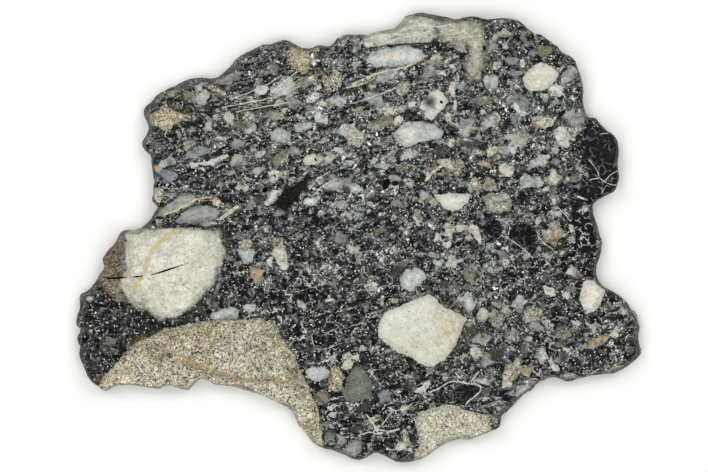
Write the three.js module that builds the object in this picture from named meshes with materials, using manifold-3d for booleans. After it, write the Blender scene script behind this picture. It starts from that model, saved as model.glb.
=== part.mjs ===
import * as THREE from 'three';
import { mergeVertices } from 'three/addons/utils/BufferGeometryUtils.js';
import Module from 'manifold-3d';

// A slice of a lunar breccia: one thin plate of rock with two sawn faces and a
// natural, weathered rim. It lies flat on its lower face. Millimetres, +Z up,
// +X along the longest way across, origin in the middle of the lower face.

// Driving dimensions
const SLICE_LENGTH = 71;
const SLICE_THICKNESS = 2.4;

// How finely the rim is faceted, along the outline and up the wall
const RIM_STEP = 0.5;
const BAND_HEIGHT = 0.6;

// The stone goes on above and below the two saw cuts by this much before it is cut
const SAW_WASTE = 0.9;

// The rim stands out furthest at this share of the thickness, and curves in from there
const WIDEST_AT = 0.4;
const WIDEST_HEIGHT = WIDEST_AT * SLICE_THICKNESS;
const RIM_CURVE = 1.5;

// The direction across the rim is an average over this length of the outline
const RIM_AVERAGE = 2.4;

// Lumps of the weathered rim: height of the largest, its length, how many sizes
// there are, how much smaller each is than the one before, the turn in radians from one
// size to the next, how fast they change with height, and the share that is left of them
// where the rim is widest, so that the outline stays true there
const LUMP_HEIGHT = 0.15;
const LUMP_LENGTH = 7;
const LUMP_SIZES = 6;
const LUMP_SHRINK = 0.66;
const LUMP_TURN = 2.4;
const LUMP_SLANT = 0.9;
const LUMP_AT_WIDEST = 0.25;

// The outline, anticlockwise from the hollow in the left side, x to the right and y down.
// SLICE_LENGTH brings it to millimetres. Each stretch has the width of the rind that
// slopes out beyond the upper face, and how far the rim draws in below it, both in
// millimetres.
const STRETCHES = [
  { name: 'left shoulder', rind: 0.45, undercut: 0.35, points: [
    [139, 228], [130, 229.5], [121, 231.5], [117, 238], [113, 245], [107, 251],
    [101.5, 259], [103, 268]] },
  { name: 'left cheek', rind: 0.8, undercut: 0.2, points: [
    [99, 273], [95, 281], [91, 286.5], [85.5, 291], [79.5, 293.5]] },
  { name: 'lower left tip', rind: 1.1, undercut: 0.25, points: [
    [78, 297], [79, 306], [75.5, 318], [75.5, 325], [79.5, 330]] },
  { name: 'lower left side', rind: 0.45, undercut: 0.5, points: [
    [75.5, 338], [76.5, 344], [79, 347], [77.5, 355], [82, 366], [87, 378],
    [92, 384.5], [98.5, 388]] },
  { name: 'pale clast edge', rind: 0.3, undercut: 0.6, points: [
    [103, 391], [108, 389.5], [114, 386], [130, 386], [150, 388.8], [158, 388.5],
    [167, 384.8], [176, 387.5], [184, 390.8], [190, 389.5], [195, 383.5],
    [200, 380.5], [206, 380.8]] },
  { name: 'lower edge', rind: 0.3, undercut: 0.7, points: [
    [214, 384], [230, 386], [245, 391.3], [260, 395.2], [272, 399], [284, 406],
    [291, 409.5]] },
  { name: 'bottom step', rind: 0.6, undercut: 0.3, points: [
    [294.5, 416], [298, 426], [304, 431], [309.5, 440], [316, 446], [326, 450]] },
  { name: 'bottom lobe', rind: 0.5, undercut: 0.4, points: [
    [336, 452], [347, 456.5], [354, 460.8], [361, 461], [369, 457.5], [375, 453.8],
    [382, 455.5], [391, 459.5], [397, 462.2], [413, 462.8], [424, 459.5],
    [432, 454.5]] },
  { name: 'lower right edge', rind: 0.35, undercut: 0.5, points: [
    [440, 447.5], [453, 441], [462, 439.8], [470, 440], [483, 436]] },
  { name: 'grey lump', rind: 0.9, undercut: 0.2, points: [
    [492, 432], [499, 429], [501.3, 423], [501, 417.5]] },
  { name: 'right edge under the lobe', rind: 0.5, undercut: 0.5, points: [
    [506, 413], [514, 406], [521, 399.5], [526, 394], [533, 391], [537, 385],
    [545, 381], [553, 377.8], [561, 379.3], [569, 381.6], [580, 379]] },
  { name: 'right lobe foot', rind: 0.55, undercut: 0.4, points: [
    [600, 375.5], [613, 373.5], [622, 370.2], [632, 364.2], [639.6, 357.7],
    [642.7, 351.5]] },
  { name: 'right lobe', rind: 0.8, undercut: 0.3, points: [
    [640.8, 344.6], [640, 338], [641, 328], [640, 318], [637, 312.5], [631.5, 309],
    [628, 303]] },
  { name: 'lower hollow', rind: 0.4, undercut: 0.5, points: [
    [621.5, 297], [613, 291.3], [605, 287.5], [600, 281.5]] },
  { name: 'right hollow', rind: 0.75, undercut: 0.25, points: [
    [597.5, 272], [600, 260], [602.5, 250], [603, 241], [600, 235], [598.5, 226],
    [596.5, 218.5], [593.8, 210], [595, 203.5]] },
  { name: 'glassy lobe', rind: 0.35, undercut: 0.6, points: [
    [600, 199.3], [609, 195], [615, 191], [618.5, 184], [618.6, 171], [618.3, 160],
    [619.4, 147], [617.7, 138.5]] },
  { name: 'glassy lobe top', rind: 0.7, undercut: 0.3, points: [
    [612.5, 133], [606.5, 130], [600.5, 122], [597, 117], [592, 116.7],
    [588.5, 116.3]] },
  { name: 'top right slope', rind: 0.25, undercut: 0.7, points: [
    [586, 109.5], [584.3, 100], [584, 86], [580.5, 71], [575.5, 60.5], [567, 54.7],
    [562, 52], [558.5, 46.5], [550, 41], [541, 35.1], [530, 28.7], [524, 22.5],
    [518, 19.3]] },
  { name: 'top right edge', rind: 0.35, undercut: 0.5, points: [
    [505, 18.4], [490, 18.4], [476, 14.8], [466, 16.2], [456, 18.8]] },
  { name: 'top lobe', rind: 0.75, undercut: 0.25, points: [
    [445, 16], [432, 12.8], [423, 11], [413, 13.3], [405, 16], [402, 20.8],
    [396, 26.8]] },
  { name: 'top edge', rind: 0.45, undercut: 0.4, points: [
    [388, 29.4], [376, 30.6], [367, 33.5], [352, 33.5], [339, 37], [333.5, 43.3],
    [328, 46], [319, 44.1], [311, 46.7], [301, 46.5], [293, 42.3]] },
  { name: 'top left edge', rind: 0.8, undercut: 0.3, points: [
    [282.6, 39.6], [274, 43], [262, 44], [250, 49.5], [239, 55], [231.5, 63.8],
    [221, 74], [213, 77.8], [200, 76.8]] },
  { name: 'top left slope', rind: 1.1, undercut: 0.2, points: [
    [188, 78.8], [174, 85.4], [158, 92.8], [150, 101], [142.5, 108.5],
    [142, 114.5]] },
  { name: 'left side', rind: 0.5, undercut: 0.5, points: [
    [147, 122.3], [148.3, 126.5], [146, 134], [141.3, 141], [142, 147.5],
    [150, 156], [150, 164], [153.5, 181], [152, 188.1], [153.3, 192],
    [150.8, 200.7], [156.5, 206], [153.5, 212.5], [146, 222.5]] },
];

// Open gas pockets that the saw cut through: middle in the outline's own units, length
// and width in millimetres, depth in millimetres, and the turn of the length in degrees
const UPPER_PITS = [
  { name: 'large pocket', at: [386.3, 184.2], length: 1.6, width: 0.85, depth: 0.9, turn: 62 },
  { name: 'brown pocket', at: [395, 183.2], length: 0.95, width: 0.7, depth: 0.35, turn: 10 },
  { name: 'square pocket', at: [264.9, 190.2], length: 0.85, width: 0.65, depth: 0.7, turn: 25 },
  { name: 'slit pocket', at: [274.8, 176], length: 0.5, width: 0.26, depth: 0.4, turn: -68 },
  { name: 'pocket in the cream clast', at: [315.6, 159.8], length: 0.5, width: 0.3, depth: 0.35, turn: -60 },
  { name: 'pocket in the white clast', at: [441.4, 102], length: 0.5, width: 0.36, depth: 0.4, turn: -45 },
  { name: 'ring pocket', at: [444.6, 122], length: 0.6, width: 0.5, depth: 0.3, turn: 0 },
];
const LOWER_PITS = [
  { name: 'lower left pocket', at: [205, 300], length: 1.1, width: 0.7, depth: 0.6, turn: 30 },
  { name: 'lower middle pocket', at: [330, 330], length: 0.8, width: 0.6, depth: 0.5, turn: -15 },
  { name: 'lower right pocket', at: [500, 150], length: 1.3, width: 0.8, depth: 0.7, turn: 70 },
  { name: 'lower lobe pocket', at: [560, 330], length: 0.7, width: 0.5, depth: 0.4, turn: 45 },
];
const PIT_SIDES = 10;
const PIT_RINGS = 8;
// The middle of a pit lies this share of its depth outside the face
const PIT_RAISE = 0.2;

// Open cracks in the big pale clast, as two ends in the outline's own units, with their
// width and depth in millimetres
const CRACKS = [
  { name: 'crack at the rim', from: [105, 278.6], to: [127, 277.4], width: 0.28, depth: 0.45 },
  { name: 'short crack', from: [131.5, 277.2], to: [142.5, 276], width: 0.2, depth: 0.35 },
  { name: 'rising crack', from: [152, 274.8], to: [181, 265.6], width: 0.24, depth: 0.4 },
];
const CRACK_CURVE_PARTS = 5;

// Corners are rounded to this, so that both sawn faces are exactly flat
const GRAIN = 1e-5;

const wasm = await Module();
wasm.setup();

function outlineSpan(axis) {
  const values = STRETCHES.flatMap((stretch) => stretch.points.map((point) => point[axis]));
  return { low: Math.min(...values), high: Math.max(...values) };
}

const SPAN_X = outlineSpan(0);
const SPAN_Y = outlineSpan(1);
const MM_PER_UNIT = SLICE_LENGTH / (SPAN_X.high - SPAN_X.low);

function place([x, y]) {
  return new THREE.Vector2(
    (x - (SPAN_X.low + SPAN_X.high) / 2) * MM_PER_UNIT,
    ((SPAN_Y.low + SPAN_Y.high) / 2 - y) * MM_PER_UNIT,
  );
}

// The points along the rim, with the rind and the undercut that hold at each of them
function rimPoints() {
  const corners = STRETCHES.flatMap((stretch) =>
    stretch.points.map((point) => ({ spot: place(point), stretch })));
  const curve = new THREE.CatmullRomCurve3(
    corners.map(({ spot }) => new THREE.Vector3(spot.x, spot.y, 0)), true, 'centripetal');
  curve.arcLengthDivisions = corners.length * 12;
  const count = Math.round(curve.getLength() / RIM_STEP);
  const rim = [];
  for (let i = 0; i < count; i += 1) {
    const share = i / count;
    const corner = corners[Math.floor(curve.getUtoTmapping(share) * corners.length)];
    const spot = curve.getPointAt(share);
    rim.push({
      spot: new THREE.Vector2(spot.x, spot.y),
      rind: corner.stretch.rind,
      undercut: corner.stretch.undercut,
    });
  }
  return rim;
}

// Blends the widths along the rim and finds the way in at each point
function finishRim(rim) {
  const reach = Math.round(RIM_AVERAGE / RIM_STEP);
  const at = (i) => rim[(i + rim.length) % rim.length];
  return rim.map((here, i) => {
    let rind = 0;
    let undercut = 0;
    for (let k = -reach; k <= reach; k += 1) {
      rind += at(i + k).rind;
      undercut += at(i + k).undercut;
    }
    const along = at(i + reach).spot.clone().sub(at(i - reach).spot).normalize();
    return {
      spot: here.spot,
      rind: rind / (2 * reach + 1),
      undercut: undercut / (2 * reach + 1),
      inward: new THREE.Vector2(-along.y, along.x),
    };
  });
}

// Lumps as waves of ever smaller size, each running its own way through the stone
function lump(x, y, z) {
  let sum = 0;
  let size = 1;
  for (let k = 0; k < LUMP_SIZES; k += 1) {
    const turn = k * LUMP_TURN;
    const run = (x * Math.cos(turn) + y * Math.sin(turn) + z * LUMP_SLANT) * 2 * Math.PI;
    sum += LUMP_HEIGHT * size * Math.sin(run / (LUMP_LENGTH * size) + turn);
    size *= LUMP_SHRINK;
  }
  const calm = Math.min(1, Math.abs(z - WIDEST_HEIGHT) / WIDEST_HEIGHT);
  return sum * (LUMP_AT_WIDEST + (1 - LUMP_AT_WIDEST) * calm);
}

// How far the rim lies inside its widest outline at height z
function drawIn(z, rind, undercut) {
  if (z > WIDEST_HEIGHT) {
    return rind * ((z - WIDEST_HEIGHT) / (SLICE_THICKNESS - WIDEST_HEIGHT)) ** RIM_CURVE;
  }
  return undercut * ((WIDEST_HEIGHT - z) / WIDEST_HEIGHT) ** RIM_CURVE;
}

function toSolid(geometry) {
  const bare = geometry.clone();
  bare.deleteAttribute('normal');
  bare.deleteAttribute('uv');
  const merged = mergeVertices(bare, 1e-5);
  return new wasm.Manifold(new wasm.Mesh({
    numProp: 3,
    vertProperties: new Float32Array(merged.attributes.position.array),
    triVerts: new Uint32Array(merged.index.array),
  }));
}

// The stone before it is sawn: taller than the slice, with its lumpy rim
function roughStone() {
  const rim = finishRim(rimPoints());
  const bottom = -SAW_WASTE;
  const top = SLICE_THICKNESS + SAW_WASTE;
  const bands = Math.round((top - bottom) / BAND_HEIGHT);
  const geometry = new THREE.ExtrudeGeometry(new THREE.Shape(rim.map((point) => point.spot)), {
    depth: top - bottom,
    steps: bands,
    bevelEnabled: false,
  });
  geometry.translate(0, 0, bottom);
  const key = (x, y) => `${Math.fround(x)} ${Math.fround(y)}`;
  const byPlace = new Map(rim.map((point) => [key(point.spot.x, point.spot.y), point]));
  const position = geometry.attributes.position;
  const margin = BAND_HEIGHT / 2;
  for (let i = 0; i < position.count; i += 1) {
    const x = position.getX(i);
    const y = position.getY(i);
    const z = position.getZ(i);
    if (z > bottom + margin && z < top - margin) {
      const point = byPlace.get(key(x, y));
      const inset = drawIn(z, point.rind, point.undercut) + lump(x, y, z);
      position.setXY(i, x + point.inward.x * inset, y + point.inward.y * inset);
    }
  }
  return toSolid(geometry);
}

// The stone between the two saw cuts
function slab() {
  const geometry = new THREE.BoxGeometry(2 * SLICE_LENGTH, 2 * SLICE_LENGTH, SLICE_THICKNESS);
  geometry.translate(0, 0, SLICE_THICKNESS / 2);
  return toSolid(geometry);
}

function pitCutter(pit, faceHeight, outward) {
  const geometry = new THREE.SphereGeometry(1, PIT_SIDES, PIT_RINGS);
  geometry.rotateX(Math.PI / 2);
  geometry.scale(pit.length / 2, pit.width / 2, pit.depth / (1 - PIT_RAISE));
  geometry.rotateZ(THREE.MathUtils.degToRad(pit.turn));
  const spot = place(pit.at);
  const raise = outward * pit.depth * PIT_RAISE / (1 - PIT_RAISE);
  geometry.translate(spot.x, spot.y, faceHeight + raise);
  return toSolid(geometry);
}

// A crack is a lens in plan, cut straight down
function crackCutter(crack) {
  const from = place(crack.from);
  const to = place(crack.to);
  const across = to.clone().sub(from).normalize().rotateAround(new THREE.Vector2(), Math.PI / 2)
    .multiplyScalar(crack.width);
  const middle = from.clone().add(to).multiplyScalar(0.5);
  const shape = new THREE.Shape();
  shape.moveTo(from.x, from.y);
  shape.quadraticCurveTo(middle.x - across.x, middle.y - across.y, to.x, to.y);
  shape.quadraticCurveTo(middle.x + across.x, middle.y + across.y, from.x, from.y);
  const geometry = new THREE.ExtrudeGeometry(shape, {
    depth: 2 * crack.depth, bevelEnabled: false, curveSegments: CRACK_CURVE_PARTS,
  });
  geometry.translate(0, 0, SLICE_THICKNESS - crack.depth);
  return toSolid(geometry);
}

function sliceSolid() {
  let solid = roughStone().intersect(slab());
  for (const pit of UPPER_PITS) solid = solid.subtract(pitCutter(pit, SLICE_THICKNESS, 1));
  for (const pit of LOWER_PITS) solid = solid.subtract(pitCutter(pit, 0, -1));
  for (const crack of CRACKS) solid = solid.subtract(crackCutter(crack));
  return solid;
}

function toGeometry(solid) {
  const { vertProperties, triVerts } = solid.getMesh();
  const places = new Float32Array(vertProperties.map((value) => Math.round(value / GRAIN) * GRAIN));
  const geometry = new THREE.BufferGeometry();
  geometry.setAttribute('position', new THREE.BufferAttribute(places, 3));
  geometry.setIndex(new THREE.BufferAttribute(new Uint32Array(triVerts), 1));
  geometry.computeBoundingBox();
  const middle = geometry.boundingBox.getCenter(new THREE.Vector3());
  geometry.translate(-middle.x, -middle.y, 0);
  const faceted = geometry.toNonIndexed();
  faceted.computeVertexNormals();
  return faceted;
}

// Dark grey breccia, sawn and lightly polished
const brecciaMaterial = new THREE.MeshStandardMaterial({
  color: 0x74766e, roughness: 0.5, metalness: 0,
});

const slice = new THREE.Mesh(toGeometry(sliceSolid()), brecciaMaterial);
slice.name = 'slice';

const part = new THREE.Group();
part.name = 'lunar_meteorite_slice';
part.add(slice);

export default part;
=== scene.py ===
import math
import random

import bmesh
import bpy
import numpy as np
from mathutils import Matrix, Vector, noise


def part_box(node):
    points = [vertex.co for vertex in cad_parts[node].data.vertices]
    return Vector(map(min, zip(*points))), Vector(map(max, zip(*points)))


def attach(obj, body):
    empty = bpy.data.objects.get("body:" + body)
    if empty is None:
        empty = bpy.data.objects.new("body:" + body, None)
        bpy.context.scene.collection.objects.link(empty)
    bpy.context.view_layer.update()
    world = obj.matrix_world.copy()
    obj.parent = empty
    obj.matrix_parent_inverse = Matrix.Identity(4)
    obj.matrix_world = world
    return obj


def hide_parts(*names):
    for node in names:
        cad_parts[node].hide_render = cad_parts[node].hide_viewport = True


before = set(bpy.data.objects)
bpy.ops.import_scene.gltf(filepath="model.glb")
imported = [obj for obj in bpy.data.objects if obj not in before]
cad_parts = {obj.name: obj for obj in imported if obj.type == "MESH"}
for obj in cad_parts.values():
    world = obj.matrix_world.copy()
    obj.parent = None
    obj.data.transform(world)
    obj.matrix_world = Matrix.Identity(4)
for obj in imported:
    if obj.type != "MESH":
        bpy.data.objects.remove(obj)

bl_info = {
    "name": "Lunar Breccia Slice",
    "version": (1, 0, 0),
    "blender": (4, 5, 0),
    "location": "3D View > Sidebar > Breccia",
    "description": "Dresses a sawn slice of lunar breccia and builds the stage it lies on",
    "category": "Object",
}

MM = 0.001

# The slice's box in the frame, in millimetres
LOW_CORNER, HIGH_CORNER = (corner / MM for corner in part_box("slice"))
THICKNESS = HIGH_CORNER.z - LOW_CORNER.z
LENGTH = HIGH_CORNER.x - LOW_CORNER.x

# The picture's frame and where the slice's outline lies in it, in its points
PICTURE_WIDTH = 708
PICTURE_HEIGHT = 472
OUTLINE_LEFT, OUTLINE_RIGHT = 75.0, 642.7
OUTLINE_TOP, OUTLINE_BOTTOM = 11.7, 463.1
MM_PER_POINT = LENGTH / (OUTLINE_RIGHT - OUTLINE_LEFT)
PICTURE_MIDDLE = np.array([
    (OUTLINE_LEFT + OUTLINE_RIGHT) / 2, (OUTLINE_TOP + OUTLINE_BOTTOM) / 2])


def linear_colour(code):
    """Turns an sRGB hex colour to linear red, green and blue."""
    values = [int(code[i:i + 2], 16) / 255 for i in (1, 3, 5)]
    return tuple(v / 12.92 if v <= 0.04045 else ((v + 0.055) / 1.055) ** 2.4 for v in values)


def on_slice(points):
    """Brings picture points to millimetres on the slice, as an array of x and y."""
    away = np.asarray(points, float) - PICTURE_MIDDLE
    return away * MM_PER_POINT * (1, -1)


# What the clasts are made of: colour, dark grain, cloudy mottling, white crackle, and
# how many millimetres the edge takes to fade
KINDS = {
    "anorthosite": ("#d9d9ca", 0.20, 0.50, 0.0, 0.60),
    "white": ("#d5d7cc", 0.16, 0.24, 0.0, 0.12),
    "cream": ("#d8d6c8", 0.20, 0.35, 0.0, 0.14),
    "granulite": ("#bfbba6", 0.85, 0.60, 0.0, 0.18),
    "straw": ("#c2c0ad", 0.70, 0.30, 0.0, 0.14),
    "mottled": ("#b9b8a9", 0.50, 0.90, 0.0, 0.20),
    "banded": ("#d3d4c7", 0.25, 1.00, 0.0, 0.40),
    "orange": ("#bfaa90", 0.30, 0.60, 0.0, 0.16),
    "olive": ("#8c8a74", 0.40, 0.60, 0.0, 0.16),
    "pale grey": ("#c5cac5", 0.15, 0.70, 0.0, 0.20),
    "mid grey": ("#a0a49d", 0.20, 0.75, 0.0, 0.20),
    "blue grey": ("#929b9c", 0.15, 0.50, 0.0, 0.16),
    "melt grey": ("#787d72", 0.30, 0.70, 0.0, 0.09),
    "dark grey": ("#454944", 0.30, 0.50, 0.1, 0.14),
    "brown": ("#1d1913", 1.60, 1.00, 0.0, 0.20),
    "black glass": ("#1b1c1b", 1.20, 0.60, 0.25, 0.10),
    "cracked glass": ("#171818", 0.60, 0.60, 0.9, 0.10),
    "haze": ("#bbb9a8", 0.30, 0.90, 0.0, 1.00),
    "weathered": ("#8f8876", 0.90, 0.90, 0.0, 0.35),
    "black": ("#101111", 0.80, 0.60, 0.12, 0.08),
}

# The large clasts, by the outline that they show on the polished face, in picture points
OUTLINED_CLASTS = [
    ("anorthosite", [
        (126, 230), (150, 228), (175, 228), (205, 231), (219, 231), (223, 240), (224, 249), (220, 262),
        (214, 280), (207, 290), (199, 300), (189, 308), (177, 317), (163, 319), (150, 314), (138, 306),
        (129, 299), (121, 291), (120, 282), (124, 271), (123, 255), (127, 243)]),
    ("granulite", [
        (95, 392), (101, 380), (109, 370), (115, 363), (125, 353), (131, 347), (140, 341), (151, 336),
        (163, 330), (176, 326), (200, 322), (230, 320), (258, 319), (270, 322), (279, 331), (287, 344),
        (295, 358), (301, 371), (308, 384), (310, 393), (315, 402), (319, 415), (322, 428), (322, 452),
        (280, 445), (260, 410), (180, 400)]),
    ("white", [
        (378.4, 331), (380, 321), (385, 312), (399, 306.5), (410, 302), (419, 298), (429, 294), (436, 298),
        (439, 304), (452, 310.5), (464, 316.5), (467.5, 319), (462.5, 326), (461, 333), (457, 342),
        (452, 351), (445, 360), (432, 366), (422, 365.5), (411, 357), (399, 352), (387, 344),
        (378.4, 336.5)]),
    ("straw", [
        (417, 412), (427, 411), (432, 408), (440, 405.5), (450, 405), (458, 407), (464, 410), (480, 414),
        (487, 416), (490, 420), (491, 426), (490, 440), (440, 455), (415, 470), (414, 458), (416, 450),
        (420, 444), (420, 437), (417, 430), (416, 422)]),
    ("cream", [
        (522.4, 77), (530, 68), (536, 64), (541, 62), (548, 64), (554.5, 67.5), (559, 72), (557, 78),
        (552, 85.4), (544.6, 89.4), (537.5, 91.2), (530, 91), (525, 86)]),
    ("cream", [
        (583, 283), (588, 281), (597, 282), (602, 286), (605, 291), (603, 298), (600, 305), (594, 311),
        (588, 313), (583, 309), (580, 302), (580, 294)]),
    ("black glass", [
        (588, 119), (590, 124), (584, 130), (582, 138), (581, 150), (583, 160), (587, 168), (590, 177),
        (583, 181), (580, 190), (580, 196), (586, 200), (595, 203), (612, 200), (624, 186), (624, 140),
        (606, 122)]),
    ("cracked glass", [
        (577, 199), (590, 199), (594, 212), (592, 222), (596, 235), (596, 252), (580, 254), (575, 240),
        (577, 228), (573, 214)]),
    ("weathered", [
        (101, 244), (110, 234), (124, 230), (127, 240), (124, 256), (124, 270), (119, 284), (128, 300),
        (118, 303), (104, 290), (96, 280), (98, 262)]),
    ("black", [
        (452, 391), (458, 387), (470, 385), (479, 387), (480, 391), (475, 398), (468, 403), (463, 406),
        (458, 402), (455, 396)]),
    ("melt grey", [
        (342.7, 399), (344.6, 387.5), (348, 375), (355, 367), (361, 366.5), (369, 375), (372.6, 385),
        (371.4, 398), (361, 399), (353.5, 402)]),
    ("pale grey", [
        (305, 371), (311, 366.5), (323, 366), (328.6, 372), (326.7, 377), (316.5, 382), (310, 378.6)]),
    ("pale grey", [
        (399, 278.5), (406, 270), (416, 267.7), (424, 271.5), (427, 279), (418.6, 285.5), (411, 292),
        (402, 288)]),
    ("white", [
        (434.7, 194.5), (449, 193), (471, 194.5), (468.4, 202), (461, 209), (452, 211.4), (443.5, 208),
        (437.6, 200.4)]),
    ("pale grey", [
        (365, 60), (371, 52), (380, 49), (395, 47), (410, 46), (420, 50), (426, 56), (424, 60), (412, 64),
        (400, 66), (388, 66), (376, 67)]),
    ("banded", [
        (364, 46), (364, 25), (405, 10), (432, 20), (438, 36), (430, 42), (415, 43), (400, 44), (385, 46),
        (372, 48)]),
    ("haze", [
        (438, 22), (458, 24), (480, 22), (484, 34), (482, 50), (484, 66), (478, 78), (468, 80), (466, 62),
        (470, 48), (455, 46), (440, 40)]),
    ("granulite", [
        (285, 52), (292, 47), (300, 46), (308, 49), (310, 60), (309, 70), (303, 74), (295, 68), (287, 60)]),
    ("granulite", [
        (150, 115), (160, 108), (166, 104), (172, 110), (178, 112), (190, 115), (190, 120), (180, 122),
        (174, 125), (170, 130), (160, 128), (150, 125), (146, 120)]),
    ("white", [
        (190, 162), (200, 162), (210, 160), (220, 156), (228, 154), (230, 157), (222, 159), (215, 162),
        (213, 168), (208, 166), (200, 165), (192, 168)]),
    ("mid grey", [
        (195, 196), (190, 193), (182, 195), (170, 202), (160, 210), (155, 216), (165, 216), (178, 211),
        (188, 206), (194, 201)]),
    ("mid grey", [
        (172, 222), (180, 215), (190, 208), (200, 205), (208, 205), (217, 209), (220, 214), (215, 219),
        (205, 222), (190, 223), (178, 223)]),
    ("brown", [
        (275.7, 201), (283, 190), (297, 183.6), (307.6, 174.6), (314, 176), (304, 186), (300, 196),
        (291, 206.5), (284.6, 211.6), (278, 206.5)]),
    ("white", [
        (419, 108), (421, 103), (427, 98), (432, 92), (438, 89), (443, 93), (447, 99), (447, 104),
        (443, 109), (437, 113), (434, 119), (429, 120), (425, 116), (427, 111)]),
    ("mid grey", [(341, 453), (349, 443), (352, 439), (362, 441), (361, 450), (357, 456), (347, 456)]),
    ("pale grey", [
        (394, 134), (400, 126), (408, 121), (418, 121), (430, 123), (441, 129), (444, 133), (438, 139),
        (428, 141), (418, 143), (410, 147), (402, 146), (396, 141)]),
    ("black", [
        (508, 232), (514, 226), (524, 224), (531, 227), (536, 231), (537, 238), (532, 244), (522, 247),
        (514, 242), (509, 238)]),
    ("black", [(487, 224), (493, 221), (500, 222), (503, 229), (500, 237), (492, 237), (486, 232)]),
]

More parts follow.
